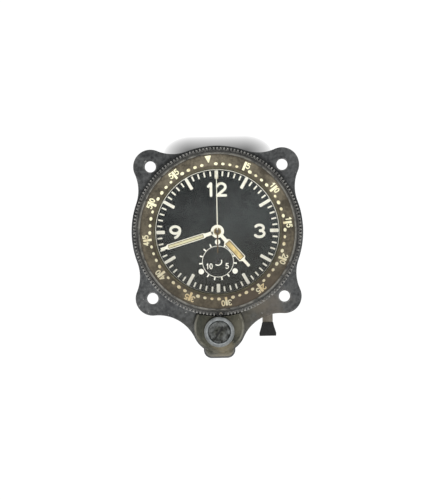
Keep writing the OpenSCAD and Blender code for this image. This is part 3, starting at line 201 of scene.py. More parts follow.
# %% [markdown]
# ## Turned pieces
# Rings and discs come from a lathe: a profile is swept round an axis. Its corners are softened first, because
# no tool leaves a perfect edge, and a soft edge catches the light. A Screw modifier sweeps a profile too; a
# loop of our own closes the seam and the poles, and can add several rings to one mesh.

# %% Helpers for turned pieces
FLAT, EDGE_SHARE, CORNER_STEPS = math.radians(165), 0.45, 4


def soften(points, r):
    """Rounds the corners of a closed outline by radius r, or less where an edge is short."""
    out = []
    for i, p in enumerate(points):
        b = Vector(p)
        a, c = Vector(points[i - 1]) - b, Vector(points[(i + 1) % len(points)]) - b
        turn = a.angle(c, math.pi)
        if turn > FLAT:
            out.append(tuple(b))
            continue
        cut = min(r / math.tan(turn / 2), EDGE_SHARE * a.length, EDGE_SHARE * c.length)
        p0, p1 = b + a.normalized() * cut, b + c.normalized() * cut
        for t in (k / CORNER_STEPS for k in range(CORNER_STEPS + 1)):
            out.append(tuple((1 - t) ** 2 * p0 + 2 * t * (1 - t) * b + t * t * p1))
    return out


def bridge(bm, loops):
    """Adds the faces between loops that follow one another."""
    for one, two in zip(loops, loops[1:]):
        for i in range(len(one)):
            corners = dict.fromkeys((one[i - 1], one[i], two[i], two[i - 1]))
            if len(corners) > 2:
                bm.faces.new(tuple(corners))


def lathe_into(bm, profile, segments=240, centre=(0, 0)):
    """Adds a turned ring or disc: profile is a closed section of (radius, height) points."""
    rings = []
    for r, z in profile:
        if r < 1e-6:
            rings.append([bm.verts.new((*centre, z))] * segments)
        else:
            rings.append([bm.verts.new((x, y, z)) for x, y in circle(*centre, r, segments)])
    bridge(bm, rings + rings[:1])


def lathe(name, profile, body, mat, node=None, segments=240, centre=(0, 0)):
    """A turned piece."""
    bm = bmesh.new()
    lathe_into(bm, profile, segments, centre)
    return add_mesh(name, bm, body, mat, node)


print("lathe ready")

# %% [markdown]
# ## Stamped pieces and painted strokes
# Flat pieces are stamped: an outline gets a thickness and a small chamfer. Painted strokes are ribbons with
# round ends, as a brush or a pen leaves them. Curves with a bevel could make both; as meshes they have no more
# points than their shape needs.

# %% Helpers for flat pieces
LEAST_MITRE = 0.35
END_STEPS = 8


def stamp_into(bm, outline, z0, z1, chamfer=0.0):
    """Adds a flat piece with a chamfer round its front edge."""
    n = len(outline)
    loops = [[bm.verts.new((x, y, z)) for x, y in outline] for z in (z0, z1 - chamfer)]
    if chamfer:
        area = sum(a[0] * b[1] - b[0] * a[1] for a, b in zip(outline[-1:] + outline[:-1], outline))
        inner = []
        for i, p in enumerate(outline):
            e0 = (Vector(p) - Vector(outline[i - 1])).normalized()
            e1 = (Vector(outline[(i + 1) % n]) - Vector(p)).normalized()
            n0, n1 = Vector((-e0.y, e0.x)), Vector((-e1.y, e1.x))
            inset = (n0 + n1) * math.copysign(chamfer, area) / max(LEAST_MITRE, 1 + n0.dot(n1))
            inner.append(bm.verts.new((p[0] + inset.x, p[1] + inset.y, z1)))
        loops.append(inner)
    bridge(bm, loops)
    bm.faces.new(loops[0][::-1])
    bm.faces.new(loops[-1])


def stamp(name, outline, z0, z1, body, mat, slot, node=None, chamfer=0.0, move=Matrix()):
    """A stamped piece."""
    bm = bmesh.new()
    stamp_into(bm, outline, z0, z1, chamfer)
    return add_mesh(name, bm, body, mat, node, move=move)


def ribbon_into(bm, points, width, z0, z1):
    """Adds a painted stroke with round ends, or a closed one if it ends where it starts."""
    pts = [Vector(p) for p in points]
    closed = (pts[0] - pts[-1]).length < 1e-6
    if closed:
        pts.pop()
    n = len(pts)
    left, right = [], []
    for i, p in enumerate(pts):
        a = pts[i - 1] if closed or i else p
        c = pts[(i + 1) % n] if closed or i < n - 1 else p
        way = (c - a).normalized()
        side = Vector((-way.y, way.x)) * width / 2
        left.append(p + side)
        right.append(p - side)
    if closed:
        edges = (left, z0), (right, z0), (right, z1), (left, z1)
        loops = [[bm.verts.new((*q, z)) for q in side] for side, z in edges]
        bridge(bm, loops + loops[:1])
        return
    ends = []
    for p, q in ((pts[-1], pts[-2]), (pts[0], pts[1])):
        a = math.degrees(math.atan2(p.y - q.y, p.x - q.x))
        ends.append(arc(p.x, p.y, width / 2, width / 2, a - 90, a + 90, END_STEPS)[1:-1])
    stamp_into(bm, right + ends[0] + left[::-1] + ends[1], z0, z1)


print("stamp and ribbon ready")

# %% [markdown]
# ## Materials from noise, not from pictures
# Every finish is a small recipe. A coarse noise and a fine noise vary the colour, a third one the roughness.
# Where two faces meet, a bevelled normal differs from the true one: that difference shows where hands and
# years have rubbed the paint through to bare metal. A picture would have to be unwrapped and would repeat;
# noise in Object coordinates covers any shape.

# %% Helpers for materials


class Tree:
    """Adds nodes to a node tree."""

    def __init__(self, tree):
        self.tree = tree

    def feed(self, value, socket):
        """Links an output to a socket, or sets the socket's plain value."""
        if isinstance(value, bpy.types.NodeSocket):
            self.tree.links.new(value, socket)
        else:
            socket.default_value = (*value, 1) if socket.type == "RGBA" else value

    def node(self, kind, inputs=None, out=0, **values):
        """Adds a node, a shader node if the kind doesn't say, and gives one of its outputs."""
        made = self.tree.nodes.new(kind if "Node" in kind else "ShaderNode" + kind)
        for k, v in values.items():
            setattr(made, k, v)
        for k, v in (inputs or {}).items():
            self.feed(v, made.inputs[k])
        return made.outputs[out]

    def calc(self, kind, a, b=0.0):
        return self.node("Math", {0: a, 1: b}, operation=kind)

    def plus(self, a, b):
        return self.calc("ADD", a, b)

    def times(self, a, b):
        return self.calc("MULTIPLY", a, b)


class Recipe(Tree):
    """Builds one procedural material, in object coordinates so that it sticks to the piece."""

    def __init__(self, name):
        self.mat = bpy.data.materials.new(name)
        self.mat.use_nodes = True
        super().__init__(self.mat.node_tree)
        self.shader = self.tree.nodes["Principled BSDF"]
        self.coords = self.node("TexCoord", out="Object")

    def noise(self, scale, detail=4.0):
        inputs = {"Vector": self.coords, "Scale": scale, "Detail": detail, "Roughness": 0.6}
        return self.node("TexNoise", inputs, "Fac")

    def span(self, value, low, high, to_low=0.0, to_high=1.0):
        """Maps low to to_low and high to to_high, and goes no further."""
        inputs = {"Value": value, "From Min": low, "From Max": high, "To Min": to_low, "To Max": to_high}
        return self.node("MapRange", inputs, "Result")

    def mix(self, share, a, b):
        """Colour a, or colour b where share is one."""
        return self.node("Mix", {0: share, 6: a, 7: b}, 2, data_type="RGBA")

    def axis(self, name):
        return self.node("SeparateXYZ", {0: self.coords}, name)

    def ring(self, x, y):
        """Distance in the dial plane from a face point, in metres."""
        flat = self.node("VectorMath", {0: self.coords, 1: (1, 0, 1)}, operation="MULTIPLY")
        return self.node("VectorMath", {0: flat, 1: (x * MM, 0, y * MM)}, "Value", operation="DISTANCE")

    def edges(self, width):
        """One on worn edges, zero on flat faces."""
        bevel = self.node("Bevel", {"Radius": width * MM}, samples=6)
        normal = self.node("NewGeometry", out="Normal")
        alike = self.node("VectorMath", {0: bevel, 1: normal}, "Value", operation="DOT_PRODUCT")
        return self.span(alike, 0.985, 0.8)

    def bump(self, height, depth):
        """Small relief, depth in mm."""
        inputs = {"Strength": 1.0, "Distance": depth * MM, "Height": height}
        self.feed(self.node("Bump", inputs), self.shader.inputs["Normal"])

    def surface(self, shader):
        """Puts another shader in the place of the first one."""
        self.feed(shader, self.tree.nodes["Material Output"].inputs["Surface"])

    def finish(self, colour, rough, metal=0.0, **more):
        """Feeds the shader; in the names of further inputs, _ stands for a space."""
        for k, v in {"Base_Color": colour, "Roughness": rough, "Metallic": metal, **more}.items():
            self.feed(v, self.shader.inputs[k.replace("_", " ")])
        return self.mat


print("material helpers ready")

# %% [markdown]
# ## Paint, metal and lume
# Three recipes serve nearly every piece: paint worn at its edges, metal with a fine grain, and the luminous
# paint of the marks, which browns as it ages. Each material could have a tree of its own; a function with named
# values keeps them alike, and a new paint is one call.

# %% Three recipes


def grey(level):
    return (level,) * 3


def worn_paint(name, dark, light, bare, wear, edge, rough, tints=(), stripes=()):
    """Paint with a mottled colour and edges rubbed to bare metal.

    Each tint is a soft patch of another colour: x, y, reach, colour, share. On the case it is a stain; on the
    housing it is painted light and shade. Each stripe is a rubbed ring: x, y, radius, half width, share, and
    the foot below which it ends.
    """
    m = Recipe(name)
    grain = m.noise(900, 3)
    colour = m.mix(m.span(m.plus(m.noise(140, 5), grain), 0.75, 1.3), dark, light)
    for x, y, reach, tint, share in tints:
        ragged = m.plus(m.ring(x, y), m.span(m.noise(260), 0.3, 0.7, -0.003, 0.003))
        colour = m.mix(m.times(m.span(ragged, reach * MM, 0.0), share), colour, tint)
    rub = m.times(m.edges(edge), m.span(m.noise(330, 5), 0.62 - wear * 0.4, 0.7 - wear * 0.2))
    for x, y, r, half, share, foot in stripes:
        off = m.calc("ABSOLUTE", m.calc("SUBTRACT", m.ring(x, y), r * MM))
        band = m.times(m.span(off, half * MM, 0.0), m.span(m.noise(420), 0.34, 0.56, 0.0, share))
        band = m.times(band, m.span(m.axis("Z"), (foot - 1) * MM, (foot + 1) * MM))
        rub = m.calc("MAXIMUM", rub, band)
    chips = m.span(m.noise(700, 2), 0.705, 0.73, 0.0, 0.5)
    rub = m.calc("MAXIMUM", rub, chips)
    m.bump(m.plus(m.times(grain, 0.6), m.noise(2600, 2)), 0.02)
    patchy = m.span(m.noise(500), 0.3, 0.7, rough - 0.1, rough + 0.12)
    return m.finish(m.mix(rub, colour, bare), patchy, m.times(rub, 0.6), Specular_IOR_Level=0.2)


def metal(name, dark, light, rough=0.35, scale=500, rim=None):
    """Bare metal with a fine grain and a little tarnish.

    A rim has another tone further out on the crown: start radius, end radius, dark, light, share. On the
    plated crown the darker rim is painted shade where the chamfer turns from the light.
    """
    m = Recipe(name)
    grain = m.noise(scale)
    colour = m.mix(m.span(grain, 0.35, 0.65), dark, light)
    if rim:
        start, end, rim_dark, rim_light, share = rim
        mottle = m.mix(m.span(m.noise(650, 3), 0.38, 0.62), rim_dark, rim_light)
        colour = m.mix(m.span(m.ring(*CROWN), start * MM, end * MM, 0.0, share), colour, mottle)
    m.bump(grain, 0.004)
    return m.finish(colour, m.span(m.noise(300), 0.3, 0.7, rough - 0.08, rough + 0.12), 1.0)


def lume(name, pale, brown, stain=0.0, scale=420, foot=0.0, dull=None, shade_spots=()):
    """Luminous paint: pale where it is sound and brown where it has aged.

    Low on the dial it is dull, and browner by foot. Each shade spot is painted shadow, a brown place: x, y,
    reach.
    """
    m = Recipe(name)
    grain = m.noise(scale * 4, 3)
    age = m.plus(m.noise(scale), stain)
    colour = m.mix(m.span(grain, 0.35, 0.7), pale, tuple(c * 0.86 for c in pale))
    if dull:
        height = m.axis("Z")
        age = m.plus(age, m.span(height, -0.004, -0.024, 0.0, foot))
        colour = m.mix(m.span(height, 0.012, -0.014), colour, dull)
    for x, y, reach in shade_spots:
        age = m.plus(age, m.span(m.ring(x, y), reach * MM, 0.0, 0.0, 0.5))
    m.bump(grain, 0.03)
    return m.finish(m.mix(m.span(age, 0.5, 0.85), colour, brown), 0.75, Specular_IOR_Level=0.2)


print("recipes: worn paint, metal, lume")

# %% [markdown]
# ## The paints
# The palette follows the photograph: a cold dark grey case, an olive winding housing and black small parts,
# with stains where they show, such as brown beside the lever. On the housing such soft spots are painted light
# and shade: lighter olive on its right side and its nose, darker on its left side. A stain could be painted
# by hand; as a soft spot about a point, made ragged by noise, it needs no image and keeps its place.

# %% Paints
case_paint = worn_paint(
    "case paint", (0.025, 0.0263, 0.0275), (0.106, 0.109, 0.109), (0.525, 0.525, 0.5),
    wear=0.5, edge=0.3, rough=0.5,
    tints=(
        (17, -27, 7.5, (0.138, 0.115, 0.085), 0.8), (9, -30, 11, (0.1, 0.094, 0.073), 0.6),
        (20, -25, 8, (0.112, 0.107, 0.099), 0.5), (-8, -32, 7, (0.075, 0.074, 0.06), 0.5)),
)
# the ring's paint is a darker copy of the teeth's: painted shade for the valleys between the teeth
bezel_shade_paint = worn_paint(
    "bezel shade paint", (0.02, 0.02, 0.0187), (0.057, 0.056, 0.051), (0.45, 0.431, 0.375),
    wear=0.45, edge=0.12, rough=0.45, stripes=((0, 0, 27.2, 0.6, 0.44, -50),),
)
tooth_paint = worn_paint(
    "tooth paint", (0.037, 0.037, 0.035), (0.119, 0.116, 0.109), (0.575, 0.562, 0.525),
    wear=0.6, edge=0.2, rough=0.45, stripes=((0, 0, 29.2, 0.6, 0.55, -50),),
)
housing_paint = worn_paint(
    "housing paint", (0.0275, 0.0287, 0.0225), (0.08, 0.077, 0.057), (0.375, 0.362, 0.3),
    wear=0.35, edge=0.35, rough=0.5,
    # painted light and shade: lighter olive on the right side and the nose, darker on the left side
    tints=((7.5, -33, 5.5, (0.106, 0.1, 0.075), 0.8), (1, -42, 6, (0.163, 0.14, 0.094), 0.85),
           (-6.5, -33, 5, (0.037, 0.039, 0.031), 0.7)),
    stripes=((0, -33.2, 8.35, 0.5, 0.5, -39.3),),
)
OLD_BRASS = (0.375, 0.35, 0.275)
black_paint = worn_paint(
    "black paint", grey(0.0175), (0.037, 0.037, 0.036), OLD_BRASS, wear=0.3, edge=0.12, rough=0.4)
ring_brown = worn_paint(
    "ring brown", (0.065, 0.059, 0.039), (0.144, 0.131, 0.084), OLD_BRASS, wear=0.3, edge=0.12, rough=0.5)
rubber = worn_paint("black rubber", grey(0.015), grey(0.0275), grey(0.062), wear=0.1, edge=0.1, rough=0.8)
grip_black = worn_paint("black grip", grey(0.01), grey(0.02), grey(0.112), wear=0.3, edge=0.2, rough=0.4)
print("paints:", len(bpy.data.materials))

# %% [markdown]
# ## Scale, dial and glass
# Three finishes are one of a kind: the lacquer is lighter towards the top, a painted light, and darker along
# its inner and outer edges, a painted shade where it meets the rings beside it; the dial is browner at its
# foot, and the glass has a thin veil of dust. True refraction would be noisy to render; a flat glass looks the
# same with a clear shader, a little gloss and a haze.

# %% Scale, dial and glass finishes


def scale_brown():
    """Aged brown lacquer of the scale ring, blotched and stained.

    It has painted light towards the top and painted shade along its inner and outer edges.
    """
    m = Recipe("scale lacquer")
    blot, grain = m.noise(170, 5), m.noise(1100, 3)
    # painted light: the lacquer is lighter towards the top
    painted_top_light = m.span(m.axis("Z"), -0.026, 0.02)
    light = m.mix(painted_top_light, (0.114, 0.095, 0.066), (0.171, 0.149, 0.107))
    colour = m.mix(m.span(m.plus(blot, m.times(grain, 0.5)), 0.6, 0.95), (0.05, 0.043, 0.031), light)
    stain = m.span(m.ring(13, -21.5), 0.013, 0.005, 0.0, 0.75)
    colour = m.mix(stain, colour, (0.062, 0.048, 0.037))
    # painted shade: darker along the inner and outer edges, where the ring meets the parts beside it
    inner, outer = (m.span(m.ring(0, 0), *ends) for ends in ((0.0233, 0.0226), (0.0262, 0.0268)))
    colour = m.mix(m.times(m.calc("MAXIMUM", inner, outer), 0.55), colour, (0.044, 0.035, 0.025))
    m.bump(grain, 0.02)
    return m.finish(colour, m.span(blot, 0.3, 0.7, 0.38, 0.6), Specular_IOR_Level=0.2)


def dial_black():
    """Matt black dial that has faded to charcoal, unevenly."""
    m = Recipe("dial black")
    cloud = m.plus(m.noise(55, 3), m.times(m.noise(620, 2), 0.9))
    colour = m.mix(m.span(cloud, 0.75, 1.2), (0.0075, 0.009, 0.0094), (0.0281, 0.034, 0.033))
    lower = m.span(m.axis("Z"), 0.003, -0.02, 0.0, 0.4)
    colour = m.mix(lower, colour, (0.059, 0.056, 0.045))
    m.bump(m.noise(3200, 2), 0.01)
    return m.finish(colour, m.span(m.noise(400), 0.3, 0.7, 0.55, 0.75), Specular_IOR_Level=0.1)


def hazy_glass():
    """Clear glass seen face on, with a veil of fine scratches and dust."""
    m = Recipe("hazy glass")
    clear = m.node("BsdfTransparent")
    veil = m.node("BsdfDiffuse", {"Color": (0.8, 0.82, 0.8)})
    gloss = m.node("BsdfGlossy", {"Roughness": 0.08})
    facing = m.node("Fresnel", {"IOR": 1.45})
    haze = m.span(m.noise(45, 3), 0.4, 0.7, 0.003, 0.018)
    specks = m.span(m.noise(1500, 2), 0.66, 0.75, 0.0, 0.05)
    dusty = m.node("MixShader", {0: m.plus(haze, specks), 1: clear, 2: veil})
    m.surface(m.node("MixShader", {0: m.times(facing, 0.3), 1: dusty, 2: gloss}))
    m.tree.nodes.remove(m.shader)
    return m.mat


scale_lacquer, dial_paint, glass_clear = scale_brown(), dial_black(), hazy_glass()
print("finishes:", scale_lacquer.name, dial_paint.name, glass_clear.name)

# %% [markdown]
# ## Marks and metals
# The marks on the dial are pale, those on the scale have yellowed, and the strips in the hands are tan and
# straw. The metals run from gilt brass in the movement to the blackened disc in the crown. Flat colours would
# look like plastic, so each has two tones and a grain.

# %% Marks and metals
cream = lume("cream paint", (0.95, 0.925, 0.775), (0.72, 0.61, 0.35), -0.12)
# painted shadow of the sweep needle: a brown spot on the tick at 12, under the needle
white_mark = lume("white marks", (0.94, 0.92, 0.785), (0.46, 0.4, 0.25), -0.08,
                  dull=(0.66, 0.645, 0.555), shade_spots=((0.4, 17.8, 1.8),))
counter_mark = lume("counter marks", (0.95, 0.935, 0.82), (0.78, 0.72, 0.54), -0.08)
yellow_mark = lume("yellow marks", (0.95, 0.919, 0.625), (0.45, 0.312, 0.138), scale=330,
                   foot=0.12, dull=(0.5, 0.463, 0.325))
tan_lume = lume("tan lume", (0.78, 0.62, 0.27), (0.26, 0.17, 0.055), 0.09, scale=620)
straw_lume = lume("straw lume", (0.68, 0.65, 0.41), (0.5, 0.43, 0.22), scale=300)
brown_edge = lume("brown edge", (0.125, 0.088, 0.044), (0.062, 0.04, 0.0187), 0.1)
steel = metal("grey steel", (0.3, 0.3, 0.31), (0.52, 0.53, 0.54))
# painted shade: the plated crown is darker at the outer edge of its face, where the chamfer is
plated = metal("plated crown", (0.235, 0.255, 0.26), (0.44, 0.46, 0.465), rough=0.45, scale=700,
               rim=(4.2, 4.6, (0.15, 0.157, 0.155), (0.26, 0.27, 0.265), 0.8))
blackened = metal("blackened steel", (0.018, 0.019, 0.016), (0.105, 0.107, 0.095), rough=0.42, scale=900,
                  rim=(1.5, 2.4, (0.03, 0.032, 0.03), (0.235, 0.245, 0.24), 0.7))
tarnished = metal("tarnished steel", (0.19, 0.17, 0.14), (0.32, 0.295, 0.255), rough=0.5, scale=260)
brass = metal("gilt brass", (0.56, 0.42, 0.17), (0.72, 0.555, 0.25), rough=0.3, scale=1900)
olive_brass = metal("olive brass", (0.34, 0.28, 0.13), (0.55, 0.46, 0.23), rough=0.6)
print("materials in all:", len(bpy.data.materials))

# %% [markdown]
# ## Dressing the plain solids
# Pieces that the case hides keep their CAD shape. They get a finish, because the part can be taken apart. They
# could be rounded by a Bevel modifier too, but no view from outside would show it.

# %% Finishes for the CAD nodes
NODE_SMOOTH = 30
FINISH = {"glass": glass_clear, "dial": dial_paint, "glass_gasket": rubber, "rear_gasket": rubber,
          "cannon_pinion": olive_brass}
STEEL_NODES = """
    rear_cover_screws housing_screws movement_screws bridge_screws bezel_snap_ring chrono_wheel escape_wheel
    pallet_fork hairspring mainspring barrel_arbor ratchet_wheel click winding_idler crown_wheel winding_stem
    crown_shaft crown_spring""".split()
for name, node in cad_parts.items():
    node.data.materials.clear()
    node.data.materials.append(FINISH.get(name, steel if name in STEEL_NODES else brass))
    node.data.set_sharp_from_angle(angle=math.radians(NODE_SMOOTH))
print("dressed", len(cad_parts), "CAD nodes")

# %% [markdown]
# ## The flange
# A casting. Its outline is a chain of arcs: the round body, an ear round each screw hole and the tongue,
# joined by hollow curves of one radius, so that a single cutter could follow it. Discs joined by booleans would
# leave sharp corners between them; here the point where each arc runs into the next is worked out.

# %% Flange outline
EAR, EAR_R, ROUND_R, WAIST_R = 23, 6, 30, 14
TONGUE, TONGUE_R, NOSE_HALF, NOSE_FOOT, NOSE_R = (0, -33.2), 9.4, 5.5, -44.2, 2.8
ARC_STEP = 3


def meet(a, ra, b, rb):
    """Point at ra from a and rb from b, to the left of the way from a to b."""
    a, b = Vector(a), Vector(b)
    d = (b - a).length
    u = (b - a) / d
    t = (ra * ra - rb * rb + d * d) / (2 * d)
    return a + t * u + math.sqrt(ra * ra - t * t) * Vector((-u.y, u.x))


def arc_between(c, r, p, q, way):
    """Arc points about c from the bearing of p to the bearing of q, without the first."""
    a0, a1 = (math.degrees(math.atan2(end[1] - c[1], end[0] - c[0])) for end in (p, q))
    swing = way * ((way * (a1 - a0)) % 360)
    return arc(*c, r, r, a0, a0 + swing, max(1, math.ceil(abs(swing) / ARC_STEP)))[1:]


def flange_outline():
    """Right half of the outline from the top down, then its mirror image."""
    body = ((0, 0), ROUND_R)
    hubs = [body, ((EAR, EAR), EAR_R), body, ((EAR, -EAR), EAR_R), (TONGUE, TONGUE_R)]
    start = (0, ROUND_R)
    half = [start]
    for (c, r), (d, s) in zip(hubs, hubs[1:]):
        f = meet(c, r + WAIST_R, d, s + WAIST_R)
        leave = Vector(c) + (f - Vector(c)) * r / (r + WAIST_R)
        enter = Vector(d) + (f - Vector(d)) * s / (s + WAIST_R)
        half += arc_between(c, r, start, leave, -1) + arc_between(f, WAIST_R, leave, enter, 1)
        start = enter
    neck = (NOSE_HALF, TONGUE[1] - math.sqrt(TONGUE_R**2 - NOSE_HALF**2))
    half += arc_between(TONGUE, TONGUE_R, start, neck, -1)
    half += arc(NOSE_HALF - NOSE_R, NOSE_FOOT + NOSE_R, NOSE_R, NOSE_R, 0, -90, 12)
    return half + [(-x, y) for x, y in half[:0:-1]]


print("outline points:", len(flange_outline()))

# %% [markdown]
# The plate is a filled curve with holes, and the steps that carry bezel, glass and can are turned. A curve
# finds the faces between outline and holes by itself, and its bevel rounds every edge at once.

# %% Flange


def slab(name, outlines, z0, z1, bevel):
    """A flat plate with holes and rounded edges, made from a filled curve."""
    curve = bpy.data.curves.new(name, "CURVE")
    curve.dimensions, curve.fill_mode = "2D", "BOTH"
    curve.extrude, curve.offset = (z1 - z0) / 2 - bevel, -bevel
    curve.bevel_depth, curve.bevel_resolution = bevel, 2
    for pts in outlines:
        spline = curve.splines.new("POLY")
        spline.points.add(len(pts) - 1)
        spline.points.foreach_set("co", [c for x, y in pts for c in (x, y, 0, 1)])
        spline.use_cyclic_u = True
    mesh = evaluated(new_object(name, curve))
    mesh.transform(Matrix.Translation((0, 0, (z0 + z1) / 2)))
    return mesh


HOLE_R, WELL_R, SPIGOT_R0, SPIGOT_R1, PLINTH_R = 1.95, 25, 24.6, 25.6, 29.3
COLLAR_R, SEAT_R, LIP_R, INNER_R = 26.5, 23.35, 21.6, 22.9
Z_FOOT, Z_FLANGE, Z_PLINTH, Z_SEAL = 0.02, 3.0, back("bezel") - 0.3, back("glass_gasket")
(Z_SPIGOT, Z_COLLAR), Z_LIP = depth("case_flange"), front("rehaut_ring")
cuts = [circle(sx * EAR, sy * EAR, HOLE_R, 48) for sx in (-1, 1) for sy in (-1, 1)]
cuts.append(circle(0, 0, WELL_R, 120))
bm = join(bmesh.new(), slab("flange plate", [flange_outline()] + cuts, 0, Z_FLANGE, 0.3))
lathe_into(bm, soften([
    (SPIGOT_R0, Z_FOOT), (SPIGOT_R0, Z_SPIGOT), (SPIGOT_R1, Z_SPIGOT), (SPIGOT_R1, Z_FOOT), (PLINTH_R, Z_FOOT),
    (PLINTH_R, Z_PLINTH), (COLLAR_R, Z_PLINTH), (COLLAR_R, Z_COLLAR), (SEAT_R, Z_COLLAR), (SEAT_R, Z_SEAL),
    (LIP_R, Z_SEAL), (LIP_R, Z_LIP), (INNER_R, Z_LIP), (INNER_R, Z_FOOT)], 0.15))
flange = add_mesh("flange_casting", bm, "case", case_paint, "case_flange")
print("flange vertices:", len(flange.data.vertices))

# %% [markdown]
# ## Can and rear cover
# Behind the panel the clock is plain: a drawn can, a seal and a turned cover held by four screws. Can and cover
# are turned anew with soft corners, because their edges show. Seal and screws are small and keep their CAD
# shape.

# %% Can and cover
CAN_WALL, RIM_WIDE, RIM_DEEP = 0.95, 4.9, 2.4
COVER_THICK, COVER_STEP, STEP_R = 1.2, 0.6, 17
can_r, can_back, cover_back = radius("can"), back("can"), back("rear_cover")
wall_r, rim_r, rim_front = can_r - CAN_WALL, can_r - RIM_WIDE, can_back + RIM_DEEP
lathe("can_shell", soften([
    (wall_r, 0), (can_r, 0), (can_r, can_back), (rim_r, can_back), (rim_r, rim_front),
    (wall_r, rim_front)], 0.2), "case", case_paint, "can")
edge_back = cover_back + COVER_STEP
edge_front = edge_back + COVER_THICK
lathe("cover_plate", soften([
    (0.0, edge_front), (can_r, edge_front), (can_r, edge_back), (STEP_R, edge_back), (STEP_R, cover_back),
    (0.0, cover_back)], 0.25), "case", case_paint, "rear_cover")
print(f"can {can_r:.1f} mm, back at {cover_back:.1f} mm")

# %% [markdown]
# ## Repeating marks with geometry nodes
# Teeth, dots, bars and ticks stand in rings. One node group makes them all: it puts points on a circle, turns
# a pattern to each, leaves out every n-th if asked, varies the size from a fixed seed, and gives a mesh. A
# Python loop could do this too, but a node group has named inputs, which can be tried out by hand in Blender.

# %% A ring of copies
RING_INPUTS = {"Pattern": "Object", "Count": "Int", "Radius": "Float", "Start": "Float", "Leave Out": "Int",
               "Spread": "Float", "Finish": "Material"}
SEED = 7


def ring_group():
    """Node group with the named inputs above."""
    group = bpy.data.node_groups.new("ring of copies", "GeometryNodeTree")
    for name, kind in RING_INPUTS.items():
        group.interface.new_socket(name, in_out="INPUT", socket_type="NodeSocket" + kind)
    group.interface.new_socket("Geometry", in_out="OUTPUT", socket_type="NodeSocketGeometry")
    given = group.nodes.new("NodeGroupInput").outputs
    g = Tree(group)
    index = g.node("GeometryNodeInputIndex")
    turn = g.plus(given["Start"], g.times(index, g.calc("DIVIDE", 2 * math.pi, given["Count"])))
    across, up = (g.times(given["Radius"], g.calc(wave, turn)) for wave in ("SINE", "COSINE"))
    place = g.node("CombineXYZ", {"X": across, "Z": up})
    points = g.node("GeometryNodePoints", {"Count": given["Count"], "Position": place})
    stored = {"Geometry": points, "Name": "turn", "Value": turn}
    points = g.node("GeometryNodeStoreNamedAttribute", stored, data_type="FLOAT")
    none_out = g.calc("LESS_THAN", given["Leave Out"], 0.5)
    every = g.plus(g.calc("MODULO", index, given["Leave Out"]), none_out)
    left_out = g.node("FunctionNodeCompare", {0: every, 1: 0.5}, data_type="FLOAT", operation="LESS_THAN")
    points = g.node("GeometryNodeDeleteGeometry", {"Geometry": points, "Selection": left_out})
    least, most = (g.calc(kind, 1.0, given["Spread"]) for kind in ("SUBTRACT", "ADD"))
    chance = {"Min": least, "Max": most, "Seed": SEED}
    vary = g.node("FunctionNodeRandomValue", chance, "Value", data_type="FLOAT")
    source = {"Object": given["Pattern"]}
    pattern = g.node("GeometryNodeObjectInfo", source, "Geometry", transform_space="ORIGINAL")
    kept = g.node("GeometryNodeInputNamedAttribute", {"Name": "turn"}, "Attribute", data_type="FLOAT")
    spin = g.node("FunctionNodeEulerToRotation", {0: g.node("CombineXYZ", {"Y": kept})})
    size = g.node("CombineXYZ", {"X": vary, "Y": 1.0, "Z": vary})
    copies = {"Points": points, "Instance": pattern, "Rotation": spin, "Scale": size}
    real = g.node("GeometryNodeRealizeInstances", {"Geometry": g.node("GeometryNodeInstanceOnPoints", copies)})
    done = g.node("GeometryNodeSetMaterial", {"Geometry": real, "Material": given["Finish"]})
    g.feed(done, group.nodes.new("NodeGroupOutput").inputs[0])
    return group


RING = ring_group()
SOCKET = {s.name: s.identifier for s in RING.interface.items_tree if s.in_out == "INPUT"}


def ring_of(name, bm, count, r, start, body, mat, leave_out=0, spread=0.0, centre=(0, 0)):
    """Copies a drawing, whose +y points outward, round a face point, from start degrees past 12."""
    shape = new_object(name + " pattern", to_mesh(name + " pattern", bm))
    shape.data.transform(FACE)
    host = new_object(name + " host", bpy.data.meshes.new(name + " host"))
    ring = host.modifiers.new("ring", "NODES")
    ring.node_group = RING
    for k, v in zip(RING_INPUTS, (shape, count, r * MM, math.radians(start), leave_out, spread, mat)):
        ring[SOCKET[k]] = v
    made = evaluated(host)
    bpy.data.objects.remove(shape)
    made.transform(Matrix.Translation((centre[0] * MM, 0, centre[1] * MM)))
    return add_piece(name, made, body)


def block(width, r0, r1, z0, z1, corner):
    """A bar with rounded corners, from r0 to r1 as measured from its ring."""
    bm = bmesh.new()
    stamp_into(bm, soften(mirrored([(width / 2, r0), (width / 2, r1)]), corner), z0, z1)
    return bm


print("ring inputs:", ", ".join(SOCKET))

# %% [markdown]
# ## The bezel
# A turned ring with teeth cut round it for a gloved hand. Each tooth ends in a slope that catches a point of
# light, and the valleys are darker by painted shade, as the ring's paint is a darker copy of the teeth's. A
# notch at the foot shows the end of the wire that holds the bezel; a black plate over the teeth there is
# painted shade for the depth of the notch. Cutting so many valleys by booleans is slow and leaves slivers, so
# the teeth are set on the ring instead.

# %% Bezel
BEZEL_TURN, TEETH, NOTCH_TURN = -6.25, 150, 178.7
SCALE_R0, SCALE_R1, SCALE_RISE = 22.4, 26.85, 0.45
BORE_R, LEDGE_R, RIM_R, SLOPE_R = 26.55, 26.9, 27.3, 27.75
TOOTH_FOOT, TOOTH_CREST, TOOTH_SUNK = 0.6, 0.13, 0.25
(bezel_back, bezel_front), tip_r = depth("bezel"), radius("bezel")
root_r, z_seat = tip_r - 1.1, bezel_front - 0.7
z_under = z_seat - 0.6
lathe("bezel_ring", soften([
    (BORE_R, bezel_back), (root_r, bezel_back), (root_r, z_seat - 0.3), (SLOPE_R, z_seat), (RIM_R, bezel_front),
    (LEDGE_R, bezel_front), (LEDGE_R, z_seat), (SCALE_R0, z_seat - SCALE_RISE), (SCALE_R0, z_under),
    (BORE_R, z_under)], 0.12), "bezel", bezel_shade_paint, "bezel", 300)
bm = bmesh.new()
z0, z1 = bezel_back + 0.4, z_seat - 0.4
